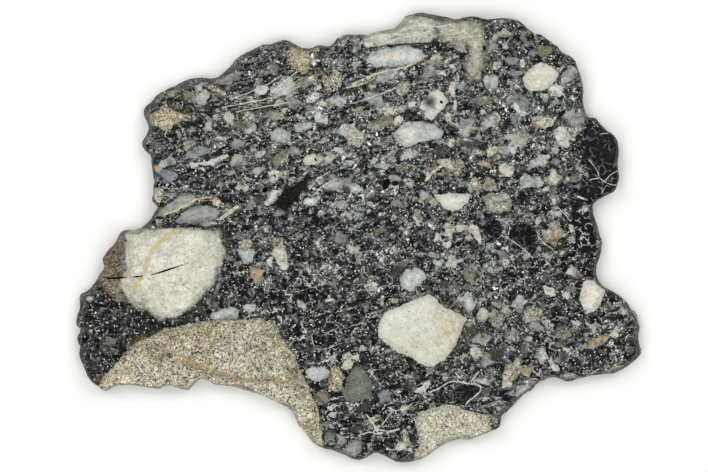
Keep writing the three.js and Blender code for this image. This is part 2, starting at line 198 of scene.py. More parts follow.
# Middling clasts, placed one by one: what they are, the middle in picture points, length and width in
# millimetres, and the turn of the length in degrees
SMALL_CLASTS = [
    ("olive", 321, 399, 2.4, 2.2, 0), ("blue grey", 386, 395, 1.9, 1.4, 70),
    ("mottled", 498, 202, 3.8, 2.6, -10), ("pale grey", 531.5, 181, 3.3, 2.0, 0),
    ("mottled", 553.5, 233, 2.5, 3.2, 0), ("white", 409, 133, 2.0, 1.9, 0),
    ("granulite", 334, 80, 2.7, 1.9, 10), ("pale grey", 285, 86, 3.6, 3.2, 20),
    ("pale grey", 262, 90, 1.8, 1.2, 40), ("olive", 192, 94, 2.4, 1.1, 12),
    ("pale grey", 202, 98, 1.9, 1.6, 30), ("blue grey", 198, 152, 3.0, 1.4, 20),
    ("white", 208, 223, 1.9, 0.8, 5), ("granulite", 217, 202, 1.7, 1.1, 15),
    ("granulite", 158, 196, 1.9, 1.5, 60), ("orange", 158, 169, 1.5, 1.4, 30),
    ("pale grey", 246, 255, 2.0, 2.2, 0), ("cream", 281, 254, 2.0, 3.6, 20),
    ("orange", 257, 275, 1.7, 2.2, 30), ("pale grey", 227, 314, 3.8, 2.0, 12),
    ("pale grey", 250, 307, 1.9, 1.9, 0), ("cream", 275, 177, 2.0, 1.3, 10),
    ("olive", 543, 51, 2.3, 1.7, 20), ("cream", 524, 62, 1.0, 1.0, 0), ("blue grey", 516, 72, 1.4, 1.0, 10),
    ("blue grey", 532, 55, 1.2, 0.9, 30), ("olive", 522, 35, 1.4, 1.4, 0), ("straw", 499, 23, 1.1, 0.9, 0),
    ("pale grey", 505, 46, 1.2, 1.0, 0), ("pale grey", 490, 81, 1.6, 2.0, 70),
    ("straw", 541, 121, 2.9, 1.9, 5), ("mid grey", 574, 119, 3.0, 1.4, -12),
    ("pale grey", 546, 97, 1.7, 1.0, -5), ("cream", 573, 139, 1.2, 0.9, -20),
    ("orange", 488, 165, 1.2, 1.1, 0), ("cream", 508, 170, 1.3, 1.9, 60),
    ("dark grey", 441, 152, 2.0, 1.0, 15), ("cream", 449, 230, 1.4, 2.1, 10),
    ("cream", 462, 228, 2.3, 1.2, -5), ("cream", 474, 229, 1.7, 1.1, -10), ("cream", 478, 238, 1.1, 1.8, 0),
    ("white", 446, 243, 1.6, 1.5, 0), ("cream", 452, 262, 1.5, 2.1, 0), ("white", 438, 238, 1.1, 1.0, 0),
    ("pale grey", 438, 263, 1.3, 1.0, 0), ("pale grey", 468, 301, 2.1, 2.3, 20),
    ("pale grey", 519, 301, 2.3, 1.5, 20), ("straw", 532, 314, 3.0, 1.8, 25),
    ("pale grey", 541, 355, 1.8, 2.7, 0), ("cream", 553, 364, 0.9, 2.4, 20),
    ("orange", 598, 341, 3.2, 1.1, 24), ("cream", 615, 334, 1.2, 1.4, 0), ("olive", 558, 345, 1.1, 1.1, 0),
    ("granulite", 511, 372, 2.0, 3.2, -20), ("cream", 506, 382, 1.3, 1.9, 20),
    ("granulite", 518, 364, 1.6, 1.6, 0), ("orange", 527, 371, 1.2, 1.6, 0),
    ("cream", 436, 58, 1.1, 0.8, 0), ("cream", 446, 61, 0.9, 0.9, 0), ("cream", 452, 68, 0.8, 1.1, 0),
    ("straw", 455, 78, 0.9, 1.2, 0), ("cream", 453, 87, 0.9, 1.2, 0), ("orange", 433, 63, 1.2, 0.7, 10),
    ("cream", 402, 73, 0.8, 0.6, 20), ("cream", 392, 77, 0.8, 0.6, 20), ("white", 362, 350, 1.6, 0.9, 30),
    ("pale grey", 524, 391, 2.2, 1.3, 30), ("straw", 615, 369, 2.6, 0.8, 15),
    ("straw", 407, 440, 1.2, 1.5, 0), ("cream", 330, 407, 1.1, 1.0, 0), ("cream", 334, 416, 1.0, 1.1, 0),
    ("granulite", 336, 380, 1.8, 3.4, 0), ("granulite", 372, 422, 2.0, 1.4, 20),
    ("white", 350, 357, 2.4, 0.9, 10), ("cream", 347, 366, 1.6, 0.9, 30),
    ("granulite", 276, 243, 1.2, 2.0, 20), ("white", 285, 266, 1.2, 1.5, 10),
    ("white", 271, 262, 0.9, 1.6, 0), ("cream", 330, 300, 1.2, 0.8, 20), ("white", 322, 118, 2.6, 1.6, 20),
    ("pale grey", 345, 130, 2.4, 1.4, 10), ("straw", 355, 137, 2.2, 2.6, 20),
    ("pale grey", 302, 128, 2.4, 1.5, 15), ("pale grey", 338, 101, 2.8, 1.4, 15),
    ("white", 228, 118, 1.6, 1.4, 15), ("pale grey", 252, 128, 2.2, 1.2, 20),
    ("mid grey", 236, 144, 1.6, 1.3, 10), ("pale grey", 281, 135, 3.0, 2.0, 10),
    ("white", 318, 88, 1.4, 0.9, 10), ("dark grey", 430, 102, 1.5, 1.5, 0),
    ("cream", 313, 160, 2.6, 1.1, 8), ("cream", 327, 160, 1.3, 1.0, 20),
    ("granulite", 292, 184, 1.1, 0.7, 30), ("cream", 246, 188, 1.0, 0.7, 25),
    ("mid grey", 251, 205, 2.4, 1.3, 25), ("pale grey", 281, 193, 1.4, 1.0, 20),
    ("cream", 394, 188, 1.9, 0.7, 0), ("cream", 428, 176, 1.5, 0.7, 50), ("cream", 452, 91, 0.9, 1.4, 0),
    ("cream", 448, 118, 1.2, 0.9, -30), ("white", 411, 103, 1.3, 0.9, 10),
    ("pale grey", 375, 162, 1.4, 0.9, 10), ("pale grey", 384, 167, 1.6, 0.8, 15),
    ("pale grey", 411, 185, 1.4, 0.8, 0), ("pale grey", 408, 155, 2.2, 1.0, 10),
    ("mid grey", 420, 212, 0.9, 1.0, 0), ("mid grey", 352, 176, 0.9, 0.9, 40),
    ("white", 349, 154, 1.1, 0.8, 30), ("olive", 110, 343, 1.2, 1.2, 0),
    ("pale grey", 408, 223, 1.1, 0.8, -20), ("black", 316, 386, 1.5, 1.2, 0),
    ("black", 414, 116, 2.6, 1.3, -15), ("black", 467, 106, 1.2, 0.8, 0),
    ("blue grey", 438, 142, 1.5, 1.0, 0), ("cream", 451, 143, 1.2, 0.8, 0),
    ("pale grey", 311, 201, 2.2, 1.2, 0), ("olive", 402, 168, 2.0, 0.7, 0),
    ("white", 407, 180, 0.9, 0.4, 0), ("straw", 371, 203, 1.2, 0.8, 0), ("cream", 351, 217, 0.8, 1.2, 0),
    ("brown", 196, 127, 1.0, 0.7, 0),
]

# Parts of another kind inside the large clasts, given in the same way
INNER_CLASTS = [
    ("dark grey", 430, 102, 1.5, 1.5, 0), ("white", 409, 133, 2.3, 2.0, 20),
    ("cream", 392, 57, 2.6, 1.1, 5), ("cream", 382, 28, 3.6, 1.8, 25), ("white", 410, 36, 1.8, 0.9, 10),
    ("mid grey", 402, 41, 2.4, 0.8, 8), ("pale grey", 437, 28, 1.8, 1.2, 0),
    ("mid grey", 466, 60, 1.8, 2.4, 70),
]

# The matrix differs from place to place: middle and reach in picture points, tone, how
# strongly its dust is drawn out along the fabric, how many white veinlets it has, and
# how many fragments of middling size
MATRIX_STRETCHES = [
    (130, 322, 40, 0.24, 0.0, 0.2, 0.12), (98, 345, 30, 0.35, 0.0, 0.5, 0.2),
    (200, 312, 25, 0.6, 0.1, 0.5, 0.8), (330, 130, 60, 2.3, 0.9, 0.6, 1.0),
    (250, 130, 50, 1.1, 1.0, 0.6, 0.7), (200, 180, 35, 0.8, 1.0, 0.7, 0.6),
    (340, 250, 45, 1.25, 0.1, 0.5, 0.35), (380, 220, 35, 1.8, 0.4, 0.1, 0.3),
    (300, 300, 40, 0.80, 0.0, 0.9, 0.2), (330, 340, 40, 0.50, 0.0, 1.0, 0.15),
    (400, 380, 35, 0.7, 0.0, 0.5, 0.5), (400, 425, 35, 0.48, 0.2, 1.0, 0.4),
    (480, 270, 40, 1.7, 0.1, 0.3, 0.7), (560, 280, 40, 0.58, 0.0, 0.6, 0.4),
    (610, 335, 35, 0.80, 0.1, 0.8, 0.35), (510, 110, 45, 2.5, 0.3, 0.3, 1.0),
    (450, 80, 40, 1.2, 0.4, 0.6, 0.8), (585, 225, 25, 0.35, 0.0, 1.0, 0.05),
    (505, 230, 20, 0.6, 0.0, 0.8, 0.1), (540, 205, 35, 1.05, 0.2, 0.3, 0.7),
    (390, 100, 45, 1.8, 0.7, 0.7, 0.8), (470, 140, 40, 0.95, 0.4, 0.3, 0.8),
    (500, 350, 40, 0.85, 0.0, 0.6, 0.7), (360, 180, 40, 1.2, 0.5, 0.1, 0.4),
    (420, 240, 35, 1.0, 0.1, 0.3, 0.6), (280, 220, 35, 0.85, 0.4, 0.4, 0.5),
    (110, 260, 25, 0.9, 0.1, 0.3, 0.8), (560, 150, 30, 0.85, 0.1, 0.5, 0.7),
    (520, 60, 40, 0.8, 0.0, 0.2, 0.9), (440, 40, 30, 1.5, 0.6, 0.4, 0.8), (300, 60, 40, 1.2, 0.7, 0.5, 0.8),
    (190, 120, 40, 1.0, 0.7, 0.6, 0.8),
]

# Weathering stains: colour, middle in picture points, length and width in millimetres,
# turn in degrees, strength
STAIN_TONES = {
    "grey": "#8a8c84", "ochre": "#b39a68", "rust": "#9a6f45", "brown": "#5a4632",
    "olive": "#6e6a50"}
STAINS = [
    ("ochre", 215, 258, 3.5, 1.0, 5, 0.45), ("rust", 173, 338, 0.8, 1.2, 0, 0.6),
    ("rust", 193, 352, 0.6, 1.6, 0, 0.6), ("brown", 265, 379.5, 7.0, 0.5, -2, 0.5),
    ("brown", 160, 348, 2.6, 0.9, -20, 0.45), ("ochre", 142, 338, 3.4, 1.0, 22, 0.5),
    ("olive", 145, 307, 4.0, 1.4, -35, 0.7), ("olive", 196, 304, 2.2, 1.2, 45, 0.6),
    ("brown", 112, 256, 2.6, 4.6, -15, 0.6), ("brown", 368, 292, 1.6, 3.2, 10, 0.5),
    ("rust", 553, 237, 1.8, 1.8, 0, 0.6), ("rust", 298, 60, 2.2, 3.0, 0, 0.4),
    ("rust", 168, 116, 4.2, 2.2, 0, 0.4), ("ochre", 425, 330, 2.0, 1.0, 30, 0.25),
    ("rust", 395, 184, 0.8, 0.6, 0, 0.7), ("brown", 310, 180, 1.6, 1.0, 30, 0.7),
    ("ochre", 448, 332, 3.4, 5.2, -20, 0.6), ("olive", 128, 268, 1.6, 8.0, 0, 0.45),
    ("olive", 152, 233, 8.0, 1.2, 0, 0.35), ("olive", 178, 333, 9.0, 1.2, 12, 0.35),
    ("brown", 215, 340, 5.0, 2.0, 30, 0.3), ("brown", 262, 350, 2.0, 4.0, 20, 0.3),
    ("olive", 214, 300, 3.0, 1.4, 30, 0.4), ("ochre", 120, 372, 4.0, 1.0, 30, 0.5),
    ("grey", 216, 240, 2.6, 3.0, 0, 0.6), ("grey", 125, 262, 1.6, 9.0, 0, 0.4),
    ("grey", 140, 300, 4.2, 2.0, -40, 0.6), ("grey", 206, 290, 2.6, 3.0, 45, 0.5),
    ("ochre", 98, 380, 1.6, 1.2, 0, 0.5), ("ochre", 132, 350, 1.0, 1.4, 0, 0.5),
    ("brown", 158, 354, 4.6, 1.4, -28, 0.75), ("rust", 190, 364, 4.4, 0.9, -18, 0.7),
    ("brown", 225, 375, 5.4, 0.8, -14, 0.65), ("brown", 294, 378, 1.6, 5.0, 25, 0.7),
    ("ochre", 208, 334, 3.0, 1.6, 10, 0.45), ("rust", 175, 341, 1.4, 1.0, 0, 0.45),
    ("olive", 272, 336, 4.0, 1.8, -35, 0.4), ("ochre", 412, 345, 5.0, 3.0, 20, 0.22),
    ("ochre", 440, 312, 4.0, 2.4, 20, 0.30), ("brown", 368, 291, 1.4, 2.4, 10, 0.6),
    ("brown", 326, 254, 0.7, 1.0, 0, 0.6), ("rust", 430, 17, 5.0, 0.5, -8, 0.5),
    ("grey", 416, 28, 4.6, 2.6, 0, 0.6),
]

# Veins and closed cracks: colour, width in millimetres, and the line in picture points
VEIN_TONES = {"ochre": "#bfac84", "white": "#d3d5d0", "cream": "#cdc5ab", "black": "#141514",
              "rust": "#9c8867"}
VEINS = [
    ("ochre", 0.60, [
        (178, 228), (168, 236), (158, 244), (151, 252), (147, 262), (144, 274), (138, 283), (133, 290)]),
    ("rust", 0.30, [
        (150, 344), (165, 350), (185, 358), (200, 364.5), (215, 371), (242, 380), (262, 383), (282, 382),
        (300, 380)]),
    ("black", 0.16, [(103, 277), (115, 278.5), (127, 277.6)]),
    ("black", 0.12, [(131, 277.5), (142, 276)]),
    ("black", 0.14, [(151, 275), (165, 271), (180, 265.8), (189, 262.8)]),
    ("black", 0.06, [(167, 282), (173, 283), (178, 284.4), (186, 287), (193, 292), (201, 297)]),
    ("white", 0.12, [(133, 360), (143, 372), (155, 384)]),
    ("white", 0.14, [(275, 397), (284, 395.5), (290, 395), (300, 392)]),
    ("white", 0.08, [(592, 121), (598, 127)]),
    ("white", 0.07, [(600, 134), (604, 133), (610, 134)]),
    ("white", 0.08, [(588, 159), (594, 166), (598, 172), (600, 179)]),
    ("white", 0.10, [(590, 180), (597, 178), (602, 180), (607, 183), (612, 185), (617, 185)]),
    ("white", 0.08, [(606, 180), (610, 175), (614, 173), (617, 171)]),
    ("white", 0.07, [(609, 183), (604, 189), (601, 194)]),
    ("white", 0.20, [(576, 196), (582, 198), (588, 200)]),
    ("white", 0.16, [
        (430, 392), (440, 388), (447, 383), (455, 381), (465, 383), (475, 384), (481, 386), (480, 392),
        (475, 396), (470, 400), (466, 404)]),
    ("white", 0.12, [(472, 380), (476, 375), (479, 371)]),
    ("white", 0.16, [(366, 414), (372, 422), (378, 430), (390, 431), (400, 429)]),
    ("white", 0.14, [(358, 436), (368, 432), (378, 434), (392, 431)]),
    ("white", 0.14, [(388, 407), (395, 411), (405, 409), (412, 404)]),
    ("white", 0.12, [(382, 425), (388, 417), (392, 412)]),
    ("cream", 0.22, [(163, 215), (172, 212), (180, 208), (188, 204), (196, 199), (212, 197)]),
    ("cream", 0.40, [(220, 219), (230, 212), (238, 206)]),
    ("cream", 0.30, [(425, 181), (433, 172), (443, 165)]),
    ("black", 0.22, [(370, 48), (385, 46), (400, 44.5), (415, 43.5), (430, 44), (440, 42)]),
    ("cream", 0.14, [(222, 108), (240, 104), (262, 100), (285, 94), (300, 86)]),
    ("white", 0.12, [(230, 100), (250, 92), (268, 84), (282, 75)]),
    ("cream", 0.12, [(236, 112), (262, 107), (290, 102)]),
    ("white", 0.12, [(268, 95), (286, 80), (297, 72)]),
    ("cream", 0.14, [(275, 98), (293, 84), (303, 77)]),
    ("white", 0.10, [(309, 190), (318, 178), (330, 171)]),
    ("white", 0.10, [(312, 197), (322, 186), (334, 180)]),
    ("white", 0.10, [(400, 31), (412, 27), (425, 25), (440, 27), (452, 24)]),
    ("white", 0.10, [(405, 37), (420, 34), (433, 30)]),
    ("white", 0.10, [(440, 31), (452, 35), (463, 31), (472, 37)]),
    ("cream", 0.22, [(352, 84), (366, 78), (378, 73), (392, 70), (406, 67), (418, 62)]),
    ("cream", 0.14, [(345, 88), (360, 85), (376, 78)]),
    ("white", 0.10, [(350, 104), (372, 97), (396, 88)]),
    ("black", 0.14, [(158, 227), (172, 223), (180, 214), (190, 207), (205, 203.5), (218, 208)]),
    ("black", 0.12, [(155, 215), (166, 205), (180, 196), (196, 192)]),
    ("black", 0.16, [(150, 229), (185, 226.5), (222, 227)]),
    ("black", 0.12, [(405, 149), (413, 145), (421, 142), (428, 141.5), (438, 146)]),
    ("white", 0.09, [(500, 235), (508, 238), (517, 244), (525, 250), (533, 258)]),
    ("white", 0.08, [(497, 219), (504, 221), (510, 226), (508, 235)]),
    ("white", 0.09, [(538, 236), (545, 244), (553, 249)]),
    ("white", 0.08, [(556, 205), (564, 213), (571, 222)]),
    ("white", 0.08, [(563, 236), (570, 231), (578, 226)]),
]

# Fragments too small to place one by one are scattered: how many are tried on each face,
# their size range in millimetres, and the way that they lean, in degrees. A try is left
# out where it falls beside the stone, on a placed clast or in a stretch with few of them.
SCATTER_SEED = 23
UPPER_SCATTER = 2750
LOWER_SCATTER = 1600
SCATTER_SEED_STEP = 100000
# A place further than this from the stone, in millimetres, lies outside the slice
SCATTER_MISS = 0.4
SCATTER_SIZES = (0.5, 2.7)
SCATTER_POWER = 2.1
FABRIC_TURN = 14
FABRIC_SPREAD = 28
# A try keeps away from placed clasts by this share of its length
SCATTER_CLEARANCE = 0.3
# Width as a share of the length, lightness, and softness of the edge
SCATTER_SLIMNESS = (0.45, 0.9)
SCATTER_LIGHT = (0.65, 1.2)
SCATTER_SOFTNESS = (0.5, 1.6)
# Where the dust is drawn out, fragments are longer, slimmer and more nearly in line
DRAWN_LONGER, DRAWN_SLIMMER, DRAWN_ALIGNED = 0.2, 0.3, 0.6
LOOSE_SPREAD = 1.2
# How much of the size range there is where fragments are few, and how much more in a crowd
SPARSE_SIZE, CROWDED_MORE = 0.4, 0.6
# The middling clasts' lightness, and the softness of their edge
PLACED_LIGHT = (0.95, 1.1)
PLACED_SOFTNESS = 0.6
SCATTER_KINDS = [
    ("pale grey", 21), ("mid grey", 20), ("white", 9), ("cream", 11), ("straw", 9),
    ("mottled", 9), ("dark grey", 12), ("black", 12), ("granulite", 5), ("blue grey", 4),
    ("olive", 4),
]


def colour_setting(name, description, code):
    """A colour that the panel shows."""
    return bpy.props.FloatVectorProperty(
        name=name, description=description, default=linear_colour(code), subtype="COLOR",
        size=3)


def length_setting(name, description, millimetres):
    """A length that the panel shows."""
    return bpy.props.FloatProperty(
        name=name, description=description, default=millimetres * MM, unit="LENGTH")


def share_setting(name, description, value):
    """A value from 0 to 1 that the panel shows."""
    return bpy.props.FloatProperty(
        name=name, description=description, default=value, subtype="FACTOR", min=0, max=1)


class SliceSizes(bpy.types.PropertyGroup):
    """How finely the slice is built and how rough its rim is"""

    upper_spacing: length_setting("Upper spacing", "Spacing of the polished face's corners", 0.25)
    lower_spacing: length_setting("Lower spacing", "Spacing of the lower face's corners", 0.5)
    rim_edge: length_setting("Rim edge", "Rim edges longer than this are halved", 0.32)
    rim_roughness: length_setting("Rim roughness", "Height of the rim's small lumps", 0.07)
    rim_lump: length_setting("Rim lump", "Length of the rim's small lumps", 0.9)


class StoneLooks(bpy.types.PropertyGroup):
    """Colours and finishes of the stone"""

    matrix_dark: colour_setting("Matrix dark", "The matrix between the fragments", "#070808")
    matrix_mid: colour_setting("Matrix mid", "Lighter clouds in the matrix", "#7f8480")
    rind: colour_setting("Rind", "The weathered rim", "#727264")
    rind_dark: colour_setting("Rind dark", "Hollows of the weathered rim", "#33332c")
    # The pocket colour is near black: the lining's dark glass, with painted shade for the depth of the
    # pockets and cracks
    pocket: colour_setting("Pocket", "The lining of the open pockets and cracks", "#0d0c0b")
    polished_roughness: share_setting("Polished roughness", "Roughness of the polished face", 0.32)
    sawn_roughness: share_setting("Sawn roughness", "Roughness of the lower, sawn face", 0.62)


class StageLooks(bpy.types.PropertyGroup):
    """The floor, the light and the camera"""

    floor: colour_setting("Floor", "Colour of the pale floor", "#f4f4f2")
    floor_size: length_setting("Floor size", "Side of the floor", 4000)
    picture_span: length_setting(
        "Picture span", "What the picture is wide, on the slice's upper face",
        PICTURE_WIDTH * MM_PER_POINT)
    lens: bpy.props.FloatProperty(
        name="Lens", description="Focal length of the camera, in millimetres", default=150)
    world_light: bpy.props.FloatProperty(
        name="World light", description="Strength of the light from all round", default=0.15)
    lamp_power: bpy.props.FloatProperty(
        name="Lamp power", description="Power of each soft lamp", default=2.72, unit="POWER")


# Building the mesh, in millimetres until it is finished

# Corners nearer than this are one
MERGE_DISTANCE = 1e-4
# A face this near to level is flat
LEVEL = 0.9999
# Neighbours that turn by no more than this, in degrees, are one face before the cutting
FLAT_TURN = 1
# The rim's lumps: how fast each finer size fades, how much finer it is, how many sizes
LUMP_FADE, LUMP_STEP, LUMP_SIZES = 0.7, 2.2, 4
# What the faces are, in the order of the materials
UPPER, LOWER, RIM, HOLLOW = range(4)


def is_cut_face(face, height):
    """Whether a face lies in the saw cut at a height."""
    at_height = all(abs(vert.co.z - height) < MERGE_DISTANCE for vert in face.verts)
    return abs(face.normal.z) > LEVEL and at_height


def once_each(items):
    """The items once each in the order that they come, so that every run is the same. A
    set of mesh parts would have another order in each run."""
    return list(dict.fromkeys(items))


def edges_of(faces):
    """The edges of some faces, once each."""
    return once_each(edge for face in faces for edge in face.edges)


def corners_of(faces):
    """The corners of some faces, once each."""
    return once_each(vert for face in faces for vert in face.verts)


def patches(faces):
    """Sorts faces into the lists that hang together."""
    left = set(faces)
    found = []
    for start in faces:
        if start not in left:
            continue
        left.remove(start)
        patch = [start]
        for face in patch:
            for edge in face.edges:
                near = [other for other in edge.link_faces if other in left]
                left.difference_update(near)
                patch += near
        found.append(patch)
    return found


def cut_in_strips(mesh, faces, axis, spacing):
    """Cuts level faces with planes square to an axis, and gives all the faces that result."""
    places = [vert.co[axis] for face in faces for vert in face.verts]
    lowest, highest = min(places), max(places)
    normal = Vector((0, 0, 0))
    normal[axis] = 1
    done, left = [], list(faces)
    for i in range(1, math.ceil((highest - lowest) / spacing)):
        level = lowest + i * spacing
        result = bmesh.ops.bisect_plane(
            mesh, geom=left + edges_of(left) + corners_of(left), dist=MERGE_DISTANCE / 10,
            plane_co=normal * level, plane_no=normal)
        cut = [item for item in result["geom"] if isinstance(item, bmesh.types.BMFace)]
        done += [face for face in cut if face.calc_center_median()[axis] < level]
        left = [face for face in cut if face.calc_center_median()[axis] >= level]
    return done + left


def roughen_rim(faces, height, length):
    """Moves the rim's corners in and out, level, so that the cut faces stay flat."""
    for vert in corners_of(faces):
        out = Vector((vert.normal.x, vert.normal.y, 0))
        if out.length > 0:
            lump = noise.fractal(vert.co / length, LUMP_FADE, LUMP_STEP, LUMP_SIZES)
            vert.co += out.normalized() * height * lump


def tag_faces(mesh, tag):
    """Marks every face as part of a saw cut, of the rim or of a hollow. What hangs together
    beside the cuts is the rim if it goes through the whole thickness."""
    faces = {UPPER: [], LOWER: [], RIM: [], HOLLOW: []}
    for kind, height in ((UPPER, HIGH_CORNER.z), (LOWER, LOW_CORNER.z)):
        faces[kind] = [face for face in mesh.faces if is_cut_face(face, height)]
    cut_faces = set(faces[UPPER] + faces[LOWER])
    for patch in patches([face for face in mesh.faces if face not in cut_faces]):
        heights = [vert.co.z for face in patch for vert in face.verts]
        whole = max(heights) - min(heights) > THICKNESS - MERGE_DISTANCE
        faces[RIM if whole else HOLLOW].extend(patch)
    for kind, members in faces.items():
        for face in members:
            face[tag] = kind
    return faces


def merge_flat(mesh, faces):
    """Makes large flat faces of the small ones, but leaves the border as it is."""
    chosen = set(faces)
    inner = [edge for edge in edges_of(faces) if set(edge.link_faces) <= chosen]
    turn = math.radians(FLAT_TURN)
    bmesh.ops.dissolve_limit(mesh, angle_limit=turn, verts=[], edges=inner)


def build_rim(mesh, tag, sizes):
    """Halves the rim's long edges and roughens it."""
    edges = edges_of([face for face in mesh.faces if face[tag] == RIM])
    long_edges = [edge for edge in edges if edge.calc_length() > sizes.rim_edge / MM]
    bmesh.ops.subdivide_edges(mesh, edges=long_edges, cuts=1, use_grid_fill=True)
    mesh.normal_update()
    rim = [face for face in mesh.faces if face[tag] == RIM]
    roughen_rim(rim, sizes.rim_roughness / MM, sizes.rim_lump / MM)


def shade(mesh, tag):
    """Gives each face its material, smooths the rim and hollows, and keeps sharp edges
    between the parts."""
    for face in mesh.faces:
        face.material_index = face[tag]
        face.smooth = face[tag] in (RIM, HOLLOW)
    for edge in mesh.edges:
        edge.smooth = len({face[tag] for face in edge.link_faces}) == 1


def build_mesh(sizes):
    """Builds the slice from the frame's solid: both faces in fine squares, the rim rough."""
    mesh = bmesh.new()
    mesh.from_mesh(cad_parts["slice"].data)
    mesh.transform(Matrix.Scale(1 / MM, 4))
    bmesh.ops.remove_doubles(mesh, verts=mesh.verts, dist=MERGE_DISTANCE)
    mesh.normal_update()
    tag = mesh.faces.layers.int.new("surface")
    faces = tag_faces(mesh, tag)
    merge_flat(mesh, faces[UPPER])
    merge_flat(mesh, faces[LOWER])
    build_rim(mesh, tag, sizes)
    for kind, spacing in ((UPPER, sizes.upper_spacing / MM), (LOWER, sizes.lower_spacing / MM)):
        level = [face for face in mesh.faces if face[tag] == kind]
        level = cut_in_strips(mesh, level, 0, spacing)
        cut_in_strips(mesh, level, 1, spacing)
    mesh.normal_update()
    shade(mesh, tag)
    mesh.transform(Matrix.Scale(MM, 4))
    return mesh


# Painting the clasts: each corner of the mesh learns how far inside a clast it lies

# Beyond this many millimetres outside its outline a clast no longer counts
REACH = 0.8
FAR_OUTSIDE = -5.0
# A clast leans by up to this much sideways for each millimetre down
LEAN = 0.35
# A clast is this much deeper than it is wide
DEPTH_SHARE = 1.3
# Outlines wander sideways by up to this much, in waves of this length. Those of the
# large clasts, which are placed point by point, wander by a share of it.
WARP_REACH = 0.5
WARP_LENGTH = 0.9
WARP_SEED = 7
LARGE_WARP_SHARE = 0.3
# A part of another kind inside a clast fades over this many millimetres on each side
INNER_FADE = 0.35
# Where there is no clast, the fade in millimetres
PLAIN_FADE = 0.1
# A fragment's outline: how many corners, how far they stray from even steps round it, and
# how far out they lie, in shares of the half length and width
BLOB_CORNERS = (5, 9)
BLOB_STRAY = 0.32
BLOB_FAR = (0.78, 1.18)
# The matrix away from all its stretches, and how little that counts near them
PLAIN_MATRIX = (0.8, 0.3, 0.5, 0.6)
PLAIN_WEIGHT = 0.02
# How fast a stain fades towards its border and beyond
STAIN_FALL = 0.7
# Where there is no vein: the distance from one and its half width, in millimetres
NO_VEIN = 9.0
NO_VEIN_HALF = 0.05
# A vein stops this many millimetres beyond its end
VEIN_END = 0.1


def inside_depth(points, outline):
    """How far each point lies inside a closed outline, negative outside it."""
    nearest = np.full(len(points), np.inf)
    inside = np.zeros(len(points), bool)
    for start, end in zip(outline, np.roll(outline, -1, axis=0)):
        along = end - start
        away = points - start
        share = np.clip(away @ along / (along @ along), 0, 1)
        gap = away - share[:, None] * along
        nearest = np.minimum(nearest, (gap ** 2).sum(axis=1))
        if along[1] != 0:
            crosses = (start[1] > points[:, 1]) != (end[1] > points[:, 1])
            inside ^= crosses & (away[:, 0] < away[:, 1] * along[0] / along[1])
    depth = np.sqrt(nearest)
    return np.where(inside, depth, -depth)


def blob_outline(chance, x, y, length, width, turn):
    """An uneven, broken outline of a fragment, in millimetres."""
    corners = chance.randint(*BLOB_CORNERS)
    turn = math.radians(turn)
    outline = []
    for i in range(corners):
        angle = (i + chance.uniform(-BLOB_STRAY, BLOB_STRAY)) / corners * 2 * math.pi
        far = chance.uniform(*BLOB_FAR)
        along, across = far * math.cos(angle) * length / 2, far * math.sin(angle) * width / 2
        outline.append((
            x + along * math.cos(turn) - across * math.sin(turn),
            y + along * math.sin(turn) + across * math.cos(turn)))
    return np.array(outline)


def outline_area(outline):
    """The area that a closed outline holds."""
    x, y = outline.T
    return abs((x * np.roll(y, -1) - y * np.roll(x, -1)).sum()) / 2


def outline_warp(points):
    """The sideways shift at each point that makes the fragments' outlines uneven. Blender
    seeds noise_vector from the clock, so it is given a seed here."""
    noise.seed_set(WARP_SEED)
    shift = np.empty((len(points), 2))
    for i, point in enumerate(points):
        shift[i] = noise.noise_vector(Vector(point) / WARP_LENGTH)[:2]
    return shift * WARP_REACH


class ClastLayer:
    """One layer of clasts, kept as numbers on the mesh's corners."""

    def __init__(self, points, warp):
        self.points = points
        self.places = points[:, :2] + warp
        self.depth = np.full(len(points), FAR_OUTSIDE)
        self.tone = np.zeros((len(points), 3))
        self.finish = np.zeros((len(points), 3))
        self.fade = np.full(len(points), PLAIN_FADE)

    def cut(self, chance, outline, level):
        """Finds the points near a clast that is at its widest at one height of the slice,
        and how deep inside it they lie."""
        radius = math.sqrt(outline_area(outline) / math.pi)
        lean = np.array([chance.uniform(-LEAN, LEAN), chance.uniform(-LEAN, LEAN)])
        reach = REACH + LEAN * THICKNESS
        low, high = outline.min(axis=0) - reach, outline.max(axis=0) + reach
        off = level - self.points[:, 2]
        share = np.abs(off) / (DEPTH_SHARE * radius)
        near = (self.places > low).all(axis=1) & (self.places < high).all(axis=1)
        near = np.flatnonzero(near & (share < 1))
        moved = self.places[near] - off[near, None] * lean
        narrowing = radius * (1 - np.sqrt(1 - share[near] ** 2))
        return near, inside_depth(moved, outline) - narrowing

    def add(self, chance, kind, outline, level, light=1.0, softness=1.0):
        """Adds a clast, which shows where it lies deeper than those that are there."""
        code, *finish, fade = KINDS[kind]
        near, depth = self.cut(chance, outline, level)
        won = depth > np.maximum(self.depth[near], -REACH)
        near, depth = near[won], depth[won]
        self.depth[near] = depth
        self.tone[near] = np.minimum(1, np.array(linear_colour(code)) * light)
        self.finish[near] = finish
        self.fade[near] = fade * softness

    def blend_in(self, chance, kind, outline, level):
        """Blends another kind of stone softly into the clasts that are there."""
        code, *finish, _ = KINDS[kind]
        near, depth = self.cut(chance, outline, level)
        share = np.clip(depth / (2 * INNER_FADE) + 0.5, 0, 1)[:, None]
        self.tone[near] += (np.array(linear_colour(code)) - self.tone[near]) * share
        self.finish[near] += (np.array(finish) - self.finish[near]) * share


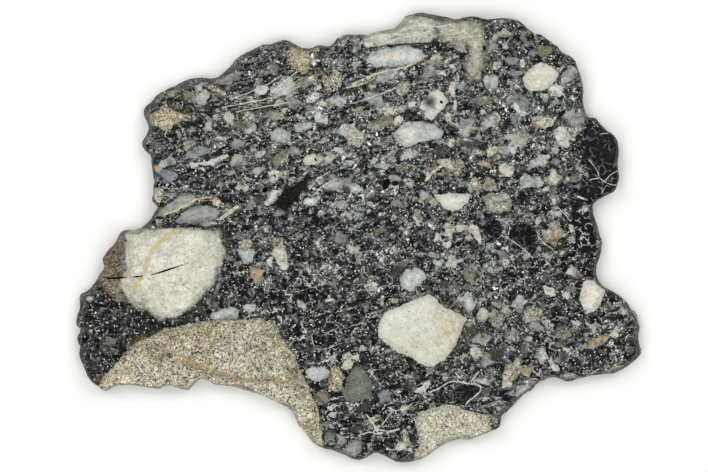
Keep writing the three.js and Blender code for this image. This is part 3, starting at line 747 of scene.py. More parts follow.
def paint_placed_clasts(layer, small):
    """The clasts that are placed one by one, cut at the polished face."""
    chance = random.Random(SCATTER_SEED)
    for kind, points in OUTLINED_CLASTS:
        layer.add(chance, kind, on_slice(points), HIGH_CORNER.z)
    for kind, x, y, length, width, turn in SMALL_CLASTS:
        outline = blob_outline(chance, *on_slice((x, y)), length, width, turn)
        light = chance.uniform(*PLACED_LIGHT)
        small.add(chance, kind, outline, HIGH_CORNER.z, light, PLACED_SOFTNESS)
    for kind, x, y, length, width, turn in INNER_CLASTS:
        outline = blob_outline(chance, *on_slice((x, y)), length, width, turn)
        layer.blend_in(chance, kind, outline, HIGH_CORNER.z)


def strewn_outline(chance, x, y, length, along):
    """The outline of a strewn fragment: longer, slimmer and more nearly in line with the
    fabric where the dust is drawn out along it."""
    length *= 1 + DRAWN_LONGER * along
    width = length * chance.uniform(*SCATTER_SLIMNESS) * (1 - DRAWN_SLIMMER * along)
    turn = chance.gauss(FABRIC_TURN, FABRIC_SPREAD * (LOOSE_SPREAD - DRAWN_ALIGNED * along))
    return blob_outline(chance, x, y, length, width, turn)


def scatter_clasts(layer, large, count, level, seed):
    """Smaller fragments, strewn between the large clasts at one height of the slice. Each
    has random numbers of its own, so that none depends on what became of another."""
    kinds = [kind for kind, _ in SCATTER_KINDS]
    weights = [weight for _, weight in SCATTER_KINDS]
    smallest, largest = SCATTER_SIZES
    at_level = np.flatnonzero(np.abs(large.points[:, 2] - level) < MERGE_DISTANCE)
    spots = large.points[at_level, :2]
    placed = np.maximum(large.depth, layer.depth)[at_level]
    character = matrix_character(large.points[at_level])
    for number in range(count):
        chance = random.Random(seed * SCATTER_SEED_STEP + number)
        x = chance.uniform(LOW_CORNER.x, HIGH_CORNER.x)
        y = chance.uniform(LOW_CORNER.y, HIGH_CORNER.y)
        away = ((spots - (x, y)) ** 2).sum(axis=1)
        nearest = away.argmin()
        along, crowding = character[nearest, 1], character[nearest, 3]
        share = chance.random() ** SCATTER_POWER * (SPARSE_SIZE + CROWDED_MORE * crowding)
        length = smallest + (largest - smallest) * share
        outside = away[nearest] > SCATTER_MISS ** 2
        taken = placed[nearest] > -SCATTER_CLEARANCE * length
        if outside or taken or chance.random() > crowding:
            continue
        outline = strewn_outline(chance, x, y, length, along)
        kind = chance.choices(kinds, weights)[0]
        light, softness = chance.uniform(*SCATTER_LIGHT), chance.uniform(*SCATTER_SOFTNESS)
        layer.add(chance, kind, outline, level, light, softness)


def matrix_character(points):
    """Tone, drawn-out dust, veinlets and crowding, blended from the matrix's stretches."""
    total = np.full((len(points), 1), PLAIN_WEIGHT)
    character = total * PLAIN_MATRIX
    for x, y, reach, *values in MATRIX_STRETCHES:
        away = points[:, :2] - on_slice((x, y))
        weight = np.exp(-(away ** 2).sum(axis=1) / (reach * MM_PER_POINT) ** 2)[:, None]
        total += weight
        character += weight * values
    return character / total


def stain_paint(points):
    """The stains' colour and strength at each point."""
    strength = np.zeros(len(points))
    colour = np.zeros((len(points), 3)) + linear_colour(STAIN_TONES["brown"])
    for tone, x, y, length, width, turn, most in STAINS:
        away = points[:, :2] - on_slice((x, y))
        c, s = math.cos(math.radians(turn)), math.sin(math.radians(turn))
        along = (away[:, 0] * c + away[:, 1] * s) / (length / 2)
        across = (away[:, 1] * c - away[:, 0] * s) / (width / 2)
        weight = most * np.exp(-STAIN_FALL * (along ** 2 + across ** 2))
        stronger = weight > strength
        strength[stronger] = weight[stronger]
        colour[stronger] = linear_colour(STAIN_TONES[tone])
    return colour, strength


def vein_paint(points):
    """Signed distance to the nearest vein, its half width and its colour at each point."""
    nearest = np.full(len(points), np.inf)
    side = np.full(len(points), NO_VEIN)
    half = np.full(len(points), NO_VEIN_HALF)
    colour = np.zeros((len(points), 3))
    for tone, width, line in VEINS:
        line = on_slice(line)
        for start, end in zip(line[:-1], line[1:]):
            along = end - start
            length = np.linalg.norm(along)
            along = along / length
            away = points[:, :2] - start
            run = away @ along
            across = away[:, 1] * along[0] - away[:, 0] * along[1]
            beyond = np.maximum(0, np.maximum(-run, run - length))
            gap = np.hypot(across, beyond)
            won = (gap < nearest) & (gap < REACH)
            nearest[won] = gap[won]
            side[won] = np.where(beyond[won] > VEIN_END, NO_VEIN, across[won])
            half[won] = width / 2
            colour[won] = linear_colour(VEIN_TONES[tone])
    return colour, side, half


def write_numbers(mesh, name, values):
    """Stores one number for each corner of the mesh."""
    layer = mesh.attributes.new(name, "FLOAT", "POINT")
    layer.data.foreach_set("value", np.ascontiguousarray(values, np.float32))


def write_colours(mesh, name, values):
    """Stores one linear colour for each corner of the mesh."""
    layer = mesh.attributes.new(name, "FLOAT_COLOR", "POINT")
    full = np.ones((len(values), 4), np.float32)
    full[:, :3] = values
    layer.data.foreach_set("color", full.ravel())


def paint_stone(mesh):
    """Writes the clasts, the matrix's character, the stains and the veins on the mesh."""
    points = np.empty(len(mesh.vertices) * 3, np.float32)
    mesh.vertices.foreach_get("co", points)
    points = points.reshape(-1, 3).astype(float) / MM
    warp = outline_warp(points)
    large, small = ClastLayer(points, warp * LARGE_WARP_SHARE), ClastLayer(points, warp)
    paint_placed_clasts(large, small)
    scatter_clasts(small, large, UPPER_SCATTER, HIGH_CORNER.z, SCATTER_SEED + 1)
    scatter_clasts(small, large, LOWER_SCATTER, LOW_CORNER.z, SCATTER_SEED + 2)
    for name, layer in (("large", large), ("small", small)):
        write_numbers(mesh, name + "_depth", layer.depth)
        write_numbers(mesh, name + "_fade", layer.fade)
        write_colours(mesh, name + "_tone", layer.tone)
        write_colours(mesh, name + "_finish", layer.finish)
    for name, values in zip(("tone", "drawn", "veinlets"), matrix_character(points).T):
        write_numbers(mesh, "matrix_" + name, values)
    colour, strength = stain_paint(points)
    write_colours(mesh, "stain_tone", colour)
    write_numbers(mesh, "stain", strength)
    colour, side, half = vein_paint(points)
    write_colours(mesh, "vein_tone", colour)
    write_numbers(mesh, "vein_side", side)
    write_numbers(mesh, "vein_half", half)


# Materials

# Noises in the stone: size in millimetres, detail and roughness, and for most of them the
# two values that they are stepped at or spread between
NOISES = {
    "bend": (0.6, 3.0, 0.5),
    "dust": (0.9, 4.0, 0.75),
    "drawn dust": (0.42, 4.0, 0.7),
    "fray": (0.35, 3.0, 0.7),
    "mass": (2.6, 2.0, 0.65, 0.45, 1.6),
    "wisps": (1.2, 5.0, 0.72, 0.58, 0.67),
    "wisp cover": (0.3, 2.0, 0.65, 0.25, 0.9),
    "mottle": (1.3, 5.0, 0.75, -0.6, 0.35),
    "bands": (0.55, 3.0, 0.7, -0.35, 0.2),
    "dusty": (2.2, 4.0, 0.65, 0.46, 0.68),
    "crackle": (1.2, 1.0, 0.65, 0.42, 0.6),
    "broad edge": (2.0, 3.0, 0.65, -0.7, 0.7),
    "clast cover": (0.8, 3.0, 0.65),
    "rough edge": (0.55, 4.0, 0.7),
    "broken vein": (0.6, 2.0, 0.65, 0.2, 1.3),
    "polish": (0.25, 3.0, 0.5),
    "saw grain": (0.2, 3.0, 0.5),
    "rind hollows": (1.4, 5.0, 0.5, 0.38, 0.62),
    "rind rust": (4.0, 3.0, 0.65, 0.52, 0.64),
    "rind cover": (3.0, 4.0, 0.65, 0.05, 0.5),
    "rind lumps": (0.5, 6.0, 0.5),
    "pocket": (0.2, 4.0, 0.5, 0.5, 0.75),
}
# The bend shifts a place by up to about half this many millimetres
BEND_REACH = 0.8
# The fabric draws things out to this many times their width
FABRIC_STRETCH = 5.0
# The middle range of a noise's values, which is what gets spread, and their middle
NOISE_RANGE = (0.3, 0.7)
NOISE_MIDDLE = 0.5

# The matrix: where its dust turns light, and how far its fragments follow the fabric
DUST_STEP = (0.47, 0.70)
PATH_SHARE = 0.25
WISP_COLOUR = "#c0c2b8"
# Its finest grains: size in millimetres and how light the darkest and lightest are
GRIT_SIZE = 0.17
GRIT_LIGHT = (0.25, 1.8)

# Its fragments: size in millimetres, share of the cells that hold one, and border width
FRAGMENTS = ((1.5, 0.18, 0.10), (0.7, 0.25, 0.12), (0.30, 0.34, 0.12))
FRAGMENT_STOPS = [
    (0.0, "#141616"), (0.3, "#2d3130"), (0.55, "#525754"), (0.75, "#747974"), (0.88, "#908f85"),
    (0.96, "#b2b4ab"), (1.0, "#d4d6cf")]
FRAGMENT_FRAY = 0.35
FRAGMENT_SHADING = 1.6
FRAGMENT_COVER = (0.45, 0.95)
BORDER_STEP = (0.2, 2.2)
# How softly a share of the cells is picked
PICK_SOFTNESS = 0.01

# White grains of feldspar in the matrix and round the clasts: size of their cells in
# millimetres, radius within a cell, share of the cells
MATRIX_SPECKS = ((0.5, 0.24, 0.06), (0.24, 0.36, 0.16))
RING_SPECKS = (0.26, 0.34, 0.22)
SPECK_EDGE = (1.2, 0.6)
SPECK_COLOUR = "#dadcd6"

# White hairlines in the matrix: size of their noise in millimetres, and width within it
BENT_VEINLETS = (2.2, 0.015)
DRAWN_VEINLETS = (0.9, 0.018)
VEINLET_EDGE = 0.3
# Detail and roughness of that noise, and of the one that says where they show
VEINLET_NOISE = (2.0, 0.5)
VEINLET_GATE_NOISE = (1.0, 0.65)
VEINLET_GATE_SIZE = 0.8
VEINLET_GATE = (0.45, 0.6)
VEINLET_COLOUR = "#cfd1ca"

# The clasts' grains: size in millimetres, and the light that they take away or add
GRAIN_SIZE = 0.14
GRAIN_LIGHT = (-1.0, 0.8)
DARKEST_GRAIN = 0.08
# A clast is darker at its edge than this many millimetres inside it
CORE_DEPTH = 0.8
CORE_LIGHT = (0.74, 1.02)
# A few grains are dark flecks
FLECK_STEP = (0.05, 0.03)
FLECK_LIGHT = 0.55
# Grains of other tints: which grains, how strongly, and the tint
RUSTY_GRAINS = ((0.6, 0.95), 0.5, (0.98, 0.77, 0.54))
BLUISH_GRAINS = ((0.4, 0.05), 0.7, (0.84, 0.94, 1.04))
DUSTY_TINT = (0.79, 0.72, 0.55)
DUSTY_SHARE = 0.7
LEAST_DUSTY = 0.12
# The white crackle of the glass: size of its net in millimetres, and width within it
CRACKLE_SIZE = 1.0
CRACKLE_STEP = (0.075, 0.015)
CRACKLE_COLOUR = "#c3c8c4"

# Where a clast's edge fades and where its dark outline lies, in shares of its fade
EDGE_STEP = (-0.5, 0.5)
RING_STEP = (-2.2, -0.6)
RING_LIGHT = 0.5
MOST_COVER = 1.5
# How much of each layer's clasts is left where they are mixed into the dust
LAYERS = (("small", 0.62), ("large", 0.9))
# The clasts' edges wander by up to this many millimetres, and the veins' by a share of it
EDGE_WANDER = 0.13
VEIN_WANDER = 0.5
VEIN_EDGE = (1.5, 0.5)
STAIN_STEP = (0.3, 0.65)
SOAKED_LIGHT = 1.5
STAIN_ON_TOP = 0.35

# The surfaces: height of the bumps in millimetres, and how strongly they mirror
POLISHED_BUMP = (0.015, 0.12)
SAWN_BUMP = (0.02, 0.5)
RIND_BUMP = (0.12, 0.3)
POCKET_BUMP = (0.05, 0.2)
RIND_ROUGHNESS = 0.8
POCKET_ROUGHNESS = 0.85
STONE_IOR = 1.58
RIND_RUST_SHARE = 0.6
RIND_RUST_COLOUR = "#86694b"
POCKET_DUST_COLOUR = "#3a3128"
# The saw marks' spacing in millimetres. A wave texture turns by 20 for each unit of scale.
SAW_MARK_SPACING = 2.8274
WAVE_TURN = 20
SAW_DISTORTION = 1.5
SAW_DETAIL = 2.0


def per_metre(millimetres):
    """A texture scale that repeats every so many millimetres."""
    return 1 / (millimetres * MM)


def add(tree, kind, inputs=None, output=0, **settings):
    """Adds a node with its settings, and links or sets its inputs. Gives one output."""
    node = tree.nodes.new("ShaderNode" + kind)
    for name, value in settings.items():
        setattr(node, name, value)
    for name, value in (inputs or {}).items():
        if isinstance(value, bpy.types.NodeSocket):
            tree.links.new(value, node.inputs[name])
        else:
            node.inputs[name].default_value = value
    return node.outputs[output] if node.outputs else None


def new_material(name):
    """An empty node material."""
    material = bpy.data.materials.new(name)
    material.use_nodes = True
    material.node_tree.nodes.clear()
    return material, material.node_tree


def opaque(colour):
    """A colour with a full alpha, as colour sockets take it."""
    return (*colour[:3], 1)


def attribute(tree, name, output="Fac"):
    """A number or colour kept on the mesh."""
    return add(tree, "Attribute", output=output, attribute_name=name)


def arithmetic(tree, operation, *values):
    """One operation over two or more numbers, from the first to the last."""
    result = values[0]
    for value in values[1:]:
        result = add(tree, "Math", {0: result, 1: value}, operation=operation)
    return result


def scaled(tree, colour, factor):
    """A colour made lighter or darker."""
    return add(tree, "VectorMath", {0: colour, "Scale": factor}, operation="SCALE")


def blend(tree, factor, under, over):
    """One colour over another."""
    return add(tree, "Mix", {"Factor": factor, 6: under, 7: over}, 2, data_type="RGBA")


def smooth_step(tree, value, low, high):
    """Turns a value to 0 below low and 1 above high, with a soft way between."""
    return add(tree, "MapRange", {
        "Value": value, "From Min": low, "From Max": high, "To Min": 0.0, "To Max": 1.0},
        interpolation_type="SMOOTHSTEP")


def spread(tree, value, low, high, span=(0.0, 1.0)):
    """Spreads a span of values between two numbers."""
    return add(tree, "MapRange", {
        "Value": value, "From Min": span[0], "From Max": span[1], "To Min": low, "To Max": high})


def cloud_noise(tree, place, size, detail, roughness, output=0):
    """Cloudy noise of one size in millimetres."""
    return add(tree, "TexNoise", {
        "Vector": place, "Scale": per_metre(size), "Detail": detail, "Roughness": roughness}, output)


def noise_called(tree, place, name, output=0):
    """One of the noises of the table, plain."""
    return cloud_noise(tree, place, *NOISES[name][:3], output)


def stepped_noise(tree, place, name):
    """One of the noises of the table, stepped."""
    return smooth_step(tree, noise_called(tree, place, name), *NOISES[name][3:])


def spread_noise(tree, place, name):
    """One of the noises of the table, spread."""
    return spread(tree, noise_called(tree, place, name), *NOISES[name][3:], NOISE_RANGE)


def stone_places(tree):
    """Where a point lies in the stone: plain, bent a little, and drawn along the fabric."""
    place = add(tree, "TexCoord", output="Object")
    shift = add(tree, "VectorMath", {
        0: noise_called(tree, place, "bend", "Color"), 1: [NOISE_MIDDLE] * 3},
        operation="SUBTRACT")
    shift = scaled(tree, shift, BEND_REACH * MM)
    bent = add(tree, "VectorMath", {0: place, 1: shift}, operation="ADD")
    drawn = add(tree, "Mapping", {
        "Vector": bent, "Rotation": (0, 0, math.radians(FABRIC_TURN)),
        "Scale": (FABRIC_STRETCH, 1, 1)}, vector_type="TEXTURE")
    return place, bent, drawn


def tone_ramp(tree, value, stops):
    """A colour ramp from pairs of place and hex colour."""
    ramp = tree.nodes.new("ShaderNodeValToRGB")
    elements = ramp.color_ramp.elements
    while len(elements) < len(stops):
        elements.new(0.5)
    for element, (place, code) in zip(elements, stops):
        element.position = place
        element.color = opaque(linear_colour(code))
    tree.links.new(value, ramp.inputs[0])
    return ramp.outputs[0]


def fragments(tree, colour, place, fray, size, share, border):
    """Broken fragments of one size over a colour: a share of the cells, each of one tone,
    with frayed edges."""
    cells = {"Vector": place, "Scale": per_metre(size)}
    edge = add(tree, "TexVoronoi", cells, "Distance", feature="DISTANCE_TO_EDGE")
    cell = add(tree, "TexVoronoi", cells, "Color")
    red, green, blue = add(tree, "SeparateColor", {0: cell}).node.outputs
    chosen = smooth_step(tree, red, 1 - share - PICK_SOFTNESS, 1 - share + PICK_SOFTNESS)
    frayed = arithmetic(tree, "ADD", edge, arithmetic(tree, "MULTIPLY", fray, FRAGMENT_FRAY))
    inside = smooth_step(tree, frayed, *(border * step for step in BORDER_STEP))
    cover = spread(tree, blue, *FRAGMENT_COVER, NOISE_RANGE)
    mask = arithmetic(tree, "MULTIPLY", chosen, inside, cover)
    light = arithmetic(tree, "MULTIPLY", fray, FRAGMENT_SHADING)
    tone = tone_ramp(tree, green, FRAGMENT_STOPS)
    tone = scaled(tree, tone, arithmetic(tree, "ADD", light, 1.0))
    return blend(tree, mask, colour, tone)


def specks(tree, colour, place, size, radius, share, where=1.0):
    """Tiny white grains of feldspar, everywhere or only where another value says."""
    spot = add(tree, "TexVoronoi", {"Vector": place, "Scale": per_metre(size)}).node
    pick = add(tree, "SeparateColor", {0: spot.outputs["Color"]}, "Red")
    near = smooth_step(tree, spot.outputs["Distance"], *(radius * step for step in SPECK_EDGE))
    few = smooth_step(tree, pick, 1 - share - 2 * PICK_SOFTNESS, 1 - share)
    mask = arithmetic(tree, "MULTIPLY", near, few, where)
    return blend(tree, mask, colour, opaque(linear_colour(SPECK_COLOUR)))


def veinlets(tree, colour, place, size, width):
    """Hairlines of white that wander through the dust in patches."""
    line = cloud_noise(tree, place, size, *VEINLET_NOISE)
    line = arithmetic(tree, "SUBTRACT", line, NOISE_MIDDLE)
    line = add(tree, "Math", {0: line}, operation="ABSOLUTE")
    line = smooth_step(tree, line, width, width * VEINLET_EDGE)
    gate = cloud_noise(tree, place, size * VEINLET_GATE_SIZE, *VEINLET_GATE_NOISE)
    gate = smooth_step(tree, gate, *VEINLET_GATE)
    gate = arithmetic(tree, "MULTIPLY", gate, attribute(tree, "matrix_veinlets"))
    mask = arithmetic(tree, "MULTIPLY", line, gate)
    return blend(tree, mask, colour, opaque(linear_colour(VEINLET_COLOUR)))


def matrix_light(tree, path, bent):
    """How light the matrix is at each point: its stretches, clouds and finest grains."""
    grit = add(tree, "TexVoronoi", {"Vector": bent, "Scale": per_metre(GRIT_SIZE)}, "Color")
    grit = spread(tree, add(tree, "SeparateColor", {0: grit}, "Red"), *GRIT_LIGHT)
    mass = spread_noise(tree, path, "mass")
    return arithmetic(tree, "MULTIPLY", mass, grit, attribute(tree, "matrix_tone"))


def matrix_colour(tree, looks, places):
    """The matrix: dark, welded rock dust full of broken fragments down to the finest,
    drawn out along the fabric in places, with white specks and hairlines."""
    place, bent, drawn = places
    along = attribute(tree, "matrix_drawn")
    dust = add(tree, "Mix", {
        "Factor": along, 2: noise_called(tree, bent, "dust"),
        3: noise_called(tree, drawn, "drawn dust")}, data_type="FLOAT")
    dust = smooth_step(tree, dust, *DUST_STEP)
    colour = blend(tree, dust, opaque(looks.matrix_dark), opaque(looks.matrix_mid))
    fray = arithmetic(tree, "SUBTRACT", noise_called(tree, place, "fray"), NOISE_MIDDLE)
    path = add(tree, "Mix", {
        "Factor": arithmetic(tree, "MULTIPLY", along, PATH_SHARE), 4: bent, 5: drawn}, 1,
        data_type="VECTOR")
    for size, share, border in FRAGMENTS:
        colour = fragments(tree, colour, path, fray, size, share, border)
    wisps = arithmetic(
        tree, "MULTIPLY", stepped_noise(tree, path, "wisps"),
        spread_noise(tree, place, "wisp cover"))
    colour = blend(tree, wisps, colour, opaque(linear_colour(WISP_COLOUR)))
    colour = scaled(tree, colour, matrix_light(tree, path, bent))
    colour = veinlets(tree, colour, bent, *BENT_VEINLETS)
    colour = veinlets(tree, colour, drawn, *DRAWN_VEINLETS)
    for size, radius, share in MATRIX_SPECKS:
        colour = specks(tree, colour, bent, size, radius, share)
    return colour


def tinted_grains(tree, tone, pick, grit, bent):
    """A clast's tone with rusty and bluish grains in it, and dusty patches."""
    colour = tone
    layers = []
    for step, strength, tint in (RUSTY_GRAINS, BLUISH_GRAINS):
        share = arithmetic(tree, "MULTIPLY", grit, strength)
        layers.append((arithmetic(tree, "MULTIPLY", smooth_step(tree, pick, *step), share), tint))
    share = arithmetic(tree, "MULTIPLY", grit, DUSTY_SHARE)
    share = arithmetic(tree, "ADD", share, LEAST_DUSTY)
    dusty = arithmetic(tree, "MULTIPLY", stepped_noise(tree, bent, "dusty"), share)
    for mask, tint in (*layers, (dusty, DUSTY_TINT)):
        over = add(tree, "VectorMath", {0: tone, 1: tint}, operation="MULTIPLY")
        colour = blend(tree, mask, colour, over)
    return colour


def crackled(tree, colour, place, bent, strength):
    """A net of white cracks over a colour, in patches."""
    net = add(tree, "TexVoronoi", {"Vector": bent, "Scale": per_metre(CRACKLE_SIZE)},
              "Distance", feature="DISTANCE_TO_EDGE")
    net = smooth_step(tree, net, *CRACKLE_STEP)
    gate = arithmetic(tree, "MULTIPLY", stepped_noise(tree, place, "crackle"), strength)
    net = arithmetic(tree, "MULTIPLY", net, gate)
    return blend(tree, net, colour, opaque(linear_colour(CRACKLE_COLOUR)))


def clast_colour(tree, name, places):
    """The colour of one layer's clasts, with their grain, clouds and crackle."""
    place, bent, drawn = places
    finish = add(tree, "SeparateColor", {0: attribute(tree, name + "_finish", "Color")})
    grit, mottle, crackle = finish.node.outputs
    cell = add(tree, "TexVoronoi", {"Vector": bent, "Scale": per_metre(GRAIN_SIZE)}, "Color")
    red, green, blue = add(tree, "SeparateColor", {0: cell}).node.outputs
    grain = arithmetic(tree, "MULTIPLY", spread(tree, red, *GRAIN_LIGHT), grit)
    clouds = arithmetic(
        tree, "ADD", spread_noise(tree, bent, "mottle"), spread_noise(tree, drawn, "bands"))
    clouds = arithmetic(tree, "MULTIPLY", clouds, mottle)
    light = arithmetic(tree, "ADD", grain, clouds, 1.0)
    depth = attribute(tree, name + "_depth")
    core = spread(tree, depth, *CORE_LIGHT, (0.0, CORE_DEPTH))
    light = arithmetic(tree, "MULTIPLY", light, core)
    light = arithmetic(tree, "MAXIMUM", light, DARKEST_GRAIN)
    fleck = spread(tree, smooth_step(tree, blue, *FLECK_STEP), 1.0, FLECK_LIGHT)
    tone = attribute(tree, name + "_tone", "Color")
    colour = tinted_grains(tree, tone, green, grit, bent)
    colour = scaled(tree, colour, arithmetic(tree, "MULTIPLY", light, fleck))
    return crackled(tree, colour, place, bent, crackle)


def clasts_over(tree, colour, name, places, wander, thinnest):
    """One layer of clasts over a colour, with frayed edges and a thin dark outline. The
    thinnest cover says how much of the clast is left where it is mixed into the dust."""
    place, bent, _ = places
    fade = attribute(tree, name + "_fade")
    broad = arithmetic(tree, "MULTIPLY", spread_noise(tree, place, "broad edge"), fade)
    broad = arithmetic(tree, "ADD", wander, broad)
    depth = arithmetic(tree, "ADD", attribute(tree, name + "_depth"), broad)
    share = arithmetic(tree, "DIVIDE", depth, fade)
    around = smooth_step(tree, share, *RING_STEP)
    colour = scaled(tree, colour, spread(tree, around, 1.0, RING_LIGHT))
    colour = specks(tree, colour, bent, *RING_SPECKS, around)
    cover = noise_called(tree, place, "clast cover")
    cover = spread(tree, cover, thinnest * 2 - 1, MOST_COVER, NOISE_RANGE)
    cover = add(tree, "Clamp", {0: cover})
    mask = arithmetic(tree, "MULTIPLY", smooth_step(tree, share, *EDGE_STEP), cover)
    return blend(tree, mask, colour, clast_colour(tree, name, places))


def stained(tree, colour, patchy):
    """A colour with the weathering stains soaked into it and a little of them on top."""
    stain = arithmetic(tree, "MULTIPLY", attribute(tree, "stain"), patchy)
    tone = attribute(tree, "stain_tone", "Color")
    soaked = add(tree, "VectorMath", {0: colour, 1: tone}, operation="MULTIPLY")
    colour = blend(tree, stain, colour, scaled(tree, soaked, SOAKED_LIGHT))
    return blend(tree, arithmetic(tree, "MULTIPLY", stain, STAIN_ON_TOP), colour, tone)


def veined(tree, colour, place, wander):
    """The veins and closed cracks over a colour, uneven and broken in places."""
    bend = arithmetic(tree, "MULTIPLY", wander, VEIN_WANDER)
    side = arithmetic(tree, "ADD", attribute(tree, "vein_side"), bend)
    side = add(tree, "Math", {0: side}, operation="ABSOLUTE")
    side = arithmetic(tree, "DIVIDE", side, attribute(tree, "vein_half"))
    broken = spread_noise(tree, place, "broken vein")
    mask = arithmetic(tree, "MULTIPLY", smooth_step(tree, side, *VEIN_EDGE), broken)
    mask = add(tree, "Clamp", {0: mask})
    return blend(tree, mask, colour, attribute(tree, "vein_tone", "Color"))


def stone_colour(tree, looks, places):
    """The whole breccia: matrix, clasts, stains and veins."""
    colour = matrix_colour(tree, looks, places)
    rough_edge = noise_called(tree, places[0], "rough edge")
    wander = spread(tree, rough_edge, -EDGE_WANDER, EDGE_WANDER, NOISE_RANGE)
    for name, thinnest in LAYERS:
        colour = clasts_over(tree, colour, name, places, wander, thinnest)
    colour = stained(tree, colour, smooth_step(tree, rough_edge, *STAIN_STEP))
    return veined(tree, colour, places[0], wander)


def finish_material(tree, colour, roughness, height, bump, specular):
    """Closes a material with its surface, its bump and its output."""
    normal = add(tree, "Bump", {"Height": height, "Strength": 1.0, "Distance": bump * MM})
    surface = add(tree, "BsdfPrincipled", {
        "Base Color": colour, "Roughness": roughness, "Normal": normal,
        "IOR": STONE_IOR, "Specular IOR Level": specular})
    add(tree, "OutputMaterial", {"Surface": surface})


def polished_breccia(looks):
    """Feldspar-rich lunar breccia, lapped with fine grit: flat and semi-matte, with
    tiny grains left standing, so that the light stays soft and the colours deep."""
    material, tree = new_material("polished lunar breccia")
    places = stone_places(tree)
    colour = stone_colour(tree, looks, places)
    height = noise_called(tree, places[0], "polish")
    finish_material(tree, colour, looks.polished_roughness, height, *POLISHED_BUMP)
    return material


def sawn_breccia(looks):
    """The same breccia straight from the wire saw: duller, with faint straight marks."""
    material, tree = new_material("sawn lunar breccia")
    places = stone_places(tree)
    colour = stone_colour(tree, looks, places)
    marks = add(tree, "TexWave", {
        "Vector": places[0], "Scale": math.tau / WAVE_TURN * per_metre(SAW_MARK_SPACING),
        "Distortion": SAW_DISTORTION, "Detail": SAW_DETAIL}, wave_type="BANDS", bands_direction="Y")
    height = arithmetic(tree, "ADD", marks, noise_called(tree, places[0], "saw grain"))
    finish_material(tree, colour, looks.sawn_roughness, height, *SAWN_BUMP)
    return material


def weathered_rind(looks):
    """The rim as it lay in the desert: dusty brown-grey and rough, darker in its hollows,
    with the clasts showing through the dust."""
    material, tree = new_material("weathered breccia rind")
    place, bent, _ = places = stone_places(tree)
    hollows = stepped_noise(tree, bent, "rind hollows")
    dust = blend(tree, hollows, opaque(looks.rind_dark), opaque(looks.rind))
    rust = arithmetic(tree, "MULTIPLY", stepped_noise(tree, place, "rind rust"), RIND_RUST_SHARE)
    dust = blend(tree, rust, dust, opaque(linear_colour(RIND_RUST_COLOUR)))
    stone = stone_colour(tree, looks, places)
    colour = blend(tree, spread_noise(tree, place, "rind cover"), stone, dust)
    height = noise_called(tree, place, "rind lumps")
    finish_material(tree, colour, RIND_ROUGHNESS, height, *RIND_BUMP)
    return material


def pocket_lining_and_painted_shade(looks):
    """The inside of a gas pocket or open crack: rough, and black for its dark glass together with painted
    shade for the pocket's depth.
    """
    material, tree = new_material("pocket lining")
    height = noise_called(tree, add(tree, "TexCoord", output="Object"), "pocket")
    dust = smooth_step(tree, height, *NOISES["pocket"][3:])
    colour = blend(tree, dust, opaque(looks.pocket), opaque(linear_colour(POCKET_DUST_COLOUR)))
    finish_material(tree, colour, POCKET_ROUGHNESS, height, *POCKET_BUMP)
    return material


# The stage

# The floor lies this far below the slice, so that the two surfaces don't share a plane
FLOOR_GAP = 0.05 * MM
# Soft lamps: their distance and side in metres, then where each stands round the slice
# in degrees, its height above the floor in degrees, and its share of the power
LAMP_DISTANCE = 0.9
LAMP_SIZE = 0.55
LAMPS = [(135, 52, 1.15), (45, 52, 1.0), (225, 52, 1.0), (315, 52, 0.95)]


class BRECCIA_OT_slice(bpy.types.Operator):
    """Builds the slice with its polished face, sawn underside and weathered rim"""

    bl_idname = "breccia.slice"
    bl_label = "Build the slice"

    def execute(self, context):
        scene = context.scene
        mesh = build_mesh(scene.breccia_sizes)
        data = bpy.data.meshes.new("breccia_slice")
        mesh.to_mesh(data)
        mesh.free()
        paint_stone(data)
        looks = scene.breccia_looks
        for make in (polished_breccia, sawn_breccia, weathered_rind, pocket_lining_and_painted_shade):
            data.materials.append(make(looks))
        piece = bpy.data.objects.new("breccia_slice", data)
        scene.collection.objects.link(piece)
        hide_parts("slice")
        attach(piece, "root")
        return {"FINISHED"}


class BRECCIA_OT_stage(bpy.types.Operator):
    """Builds the pale floor, the soft lamps and the camera"""

    bl_idname = "breccia.stage"
    bl_label = "Build the stage"

    def execute(self, context):
        scene = context.scene
        stage = scene.breccia_stage
        build_floor(scene, stage)
        build_lamps(scene, stage)
        build_camera(scene, stage)
        return {"FINISHED"}


def build_floor(scene, stage):
    """A plain pale floor."""
    mesh = bmesh.new()
    bmesh.ops.create_grid(mesh, x_segments=1, y_segments=1, size=stage.floor_size / 2)
    bmesh.ops.translate(mesh, verts=mesh.verts, vec=(0, 0, -FLOOR_GAP))
    data = bpy.data.meshes.new("floor")
    mesh.to_mesh(data)
    mesh.free()
    material, tree = new_material("pale matte floor")
    surface = add(tree, "BsdfDiffuse", {"Color": opaque(stage.floor)})
    add(tree, "OutputMaterial", {"Surface": surface})
    data.materials.append(material)
    floor = bpy.data.objects.new("floor", data)
    scene.collection.objects.link(floor)


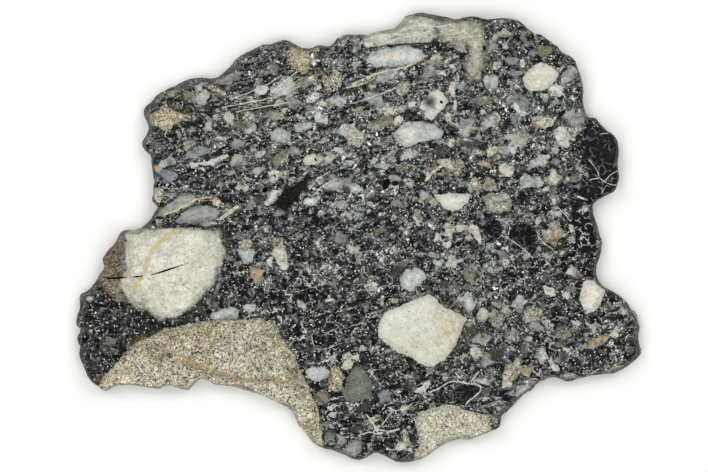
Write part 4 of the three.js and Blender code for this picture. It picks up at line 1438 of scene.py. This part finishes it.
def build_lamps(scene, stage):
    """Soft lamps round the slice, slanting so that the polished face mirrors none of them
    towards a camera above it, and an even pale world."""
    for number, (round_turn, height, share) in enumerate(LAMPS, 1):
        a, e = math.radians(round_turn), math.radians(height)
        place = Vector((math.cos(a) * math.cos(e), math.sin(a) * math.cos(e), math.sin(e)))
        lamp = bpy.data.lights.new(f"soft_lamp_{number}", "AREA")
        lamp.shape = "SQUARE"
        lamp.size = LAMP_SIZE
        lamp.energy = stage.lamp_power * share
        item = bpy.data.objects.new(lamp.name, lamp)
        item.location = place * LAMP_DISTANCE
        item.rotation_euler = (-place).to_track_quat("-Z", "Y").to_euler()
        scene.collection.objects.link(item)
    world = bpy.data.worlds.new("pale room")
    world.use_nodes = True
    world.node_tree.nodes.clear()
    light = add(world.node_tree, "Background", {
        "Color": (1, 1, 1, 1), "Strength": stage.world_light})
    add(world.node_tree, "OutputWorld", {"Surface": light})
    scene.world = world
    scene.view_settings.view_transform = "Standard"


def build_camera(scene, stage):
    """A camera straight above, as in the picture."""
    camera = bpy.data.cameras.new("camera")
    camera.lens = stage.lens
    span = stage.picture_span
    distance = span * camera.lens / camera.sensor_width
    middle = on_slice((PICTURE_WIDTH / 2, PICTURE_HEIGHT / 2)) * MM
    item = bpy.data.objects.new("camera", camera)
    item.location = (middle[0], middle[1], HIGH_CORNER.z * MM + distance)
    scene.collection.objects.link(item)
    scene.camera = item


class BRECCIA_PT_panel(bpy.types.Panel):
    """Lists the slice's and the stage's settings and buttons"""

    bl_label = "Lunar breccia slice"
    bl_idname = "BRECCIA_PT_panel"
    bl_space_type = "VIEW_3D"
    bl_region_type = "UI"
    bl_category = "Breccia"

    def draw(self, context):
        for settings in ("breccia_sizes", "breccia_looks", "breccia_stage"):
            group = getattr(context.scene, settings)
            box = self.layout.box()
            for name in group.__annotations__:
                box.prop(group, name)
        for operator in OPERATORS:
            self.layout.operator(operator.bl_idname)


OPERATORS = (BRECCIA_OT_slice, BRECCIA_OT_stage)
GROUPS = {"breccia_sizes": SliceSizes, "breccia_looks": StoneLooks, "breccia_stage": StageLooks}


def register():
    for group in GROUPS.values():
        bpy.utils.register_class(group)
    for operator in OPERATORS:
        bpy.utils.register_class(operator)
    bpy.utils.register_class(BRECCIA_PT_panel)
    for name, group in GROUPS.items():
        setattr(bpy.types.Scene, name, bpy.props.PointerProperty(type=group))


def unregister():
    for name in GROUPS:
        delattr(bpy.types.Scene, name)
    bpy.utils.unregister_class(BRECCIA_PT_panel)
    for operator in reversed(OPERATORS):
        bpy.utils.unregister_class(operator)
    for group in reversed(GROUPS.values()):
        bpy.utils.unregister_class(group)


def main():
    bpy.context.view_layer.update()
    register()
    bpy.ops.breccia.slice()
    bpy.ops.breccia.stage()


if __name__ == "__main__":
    main()
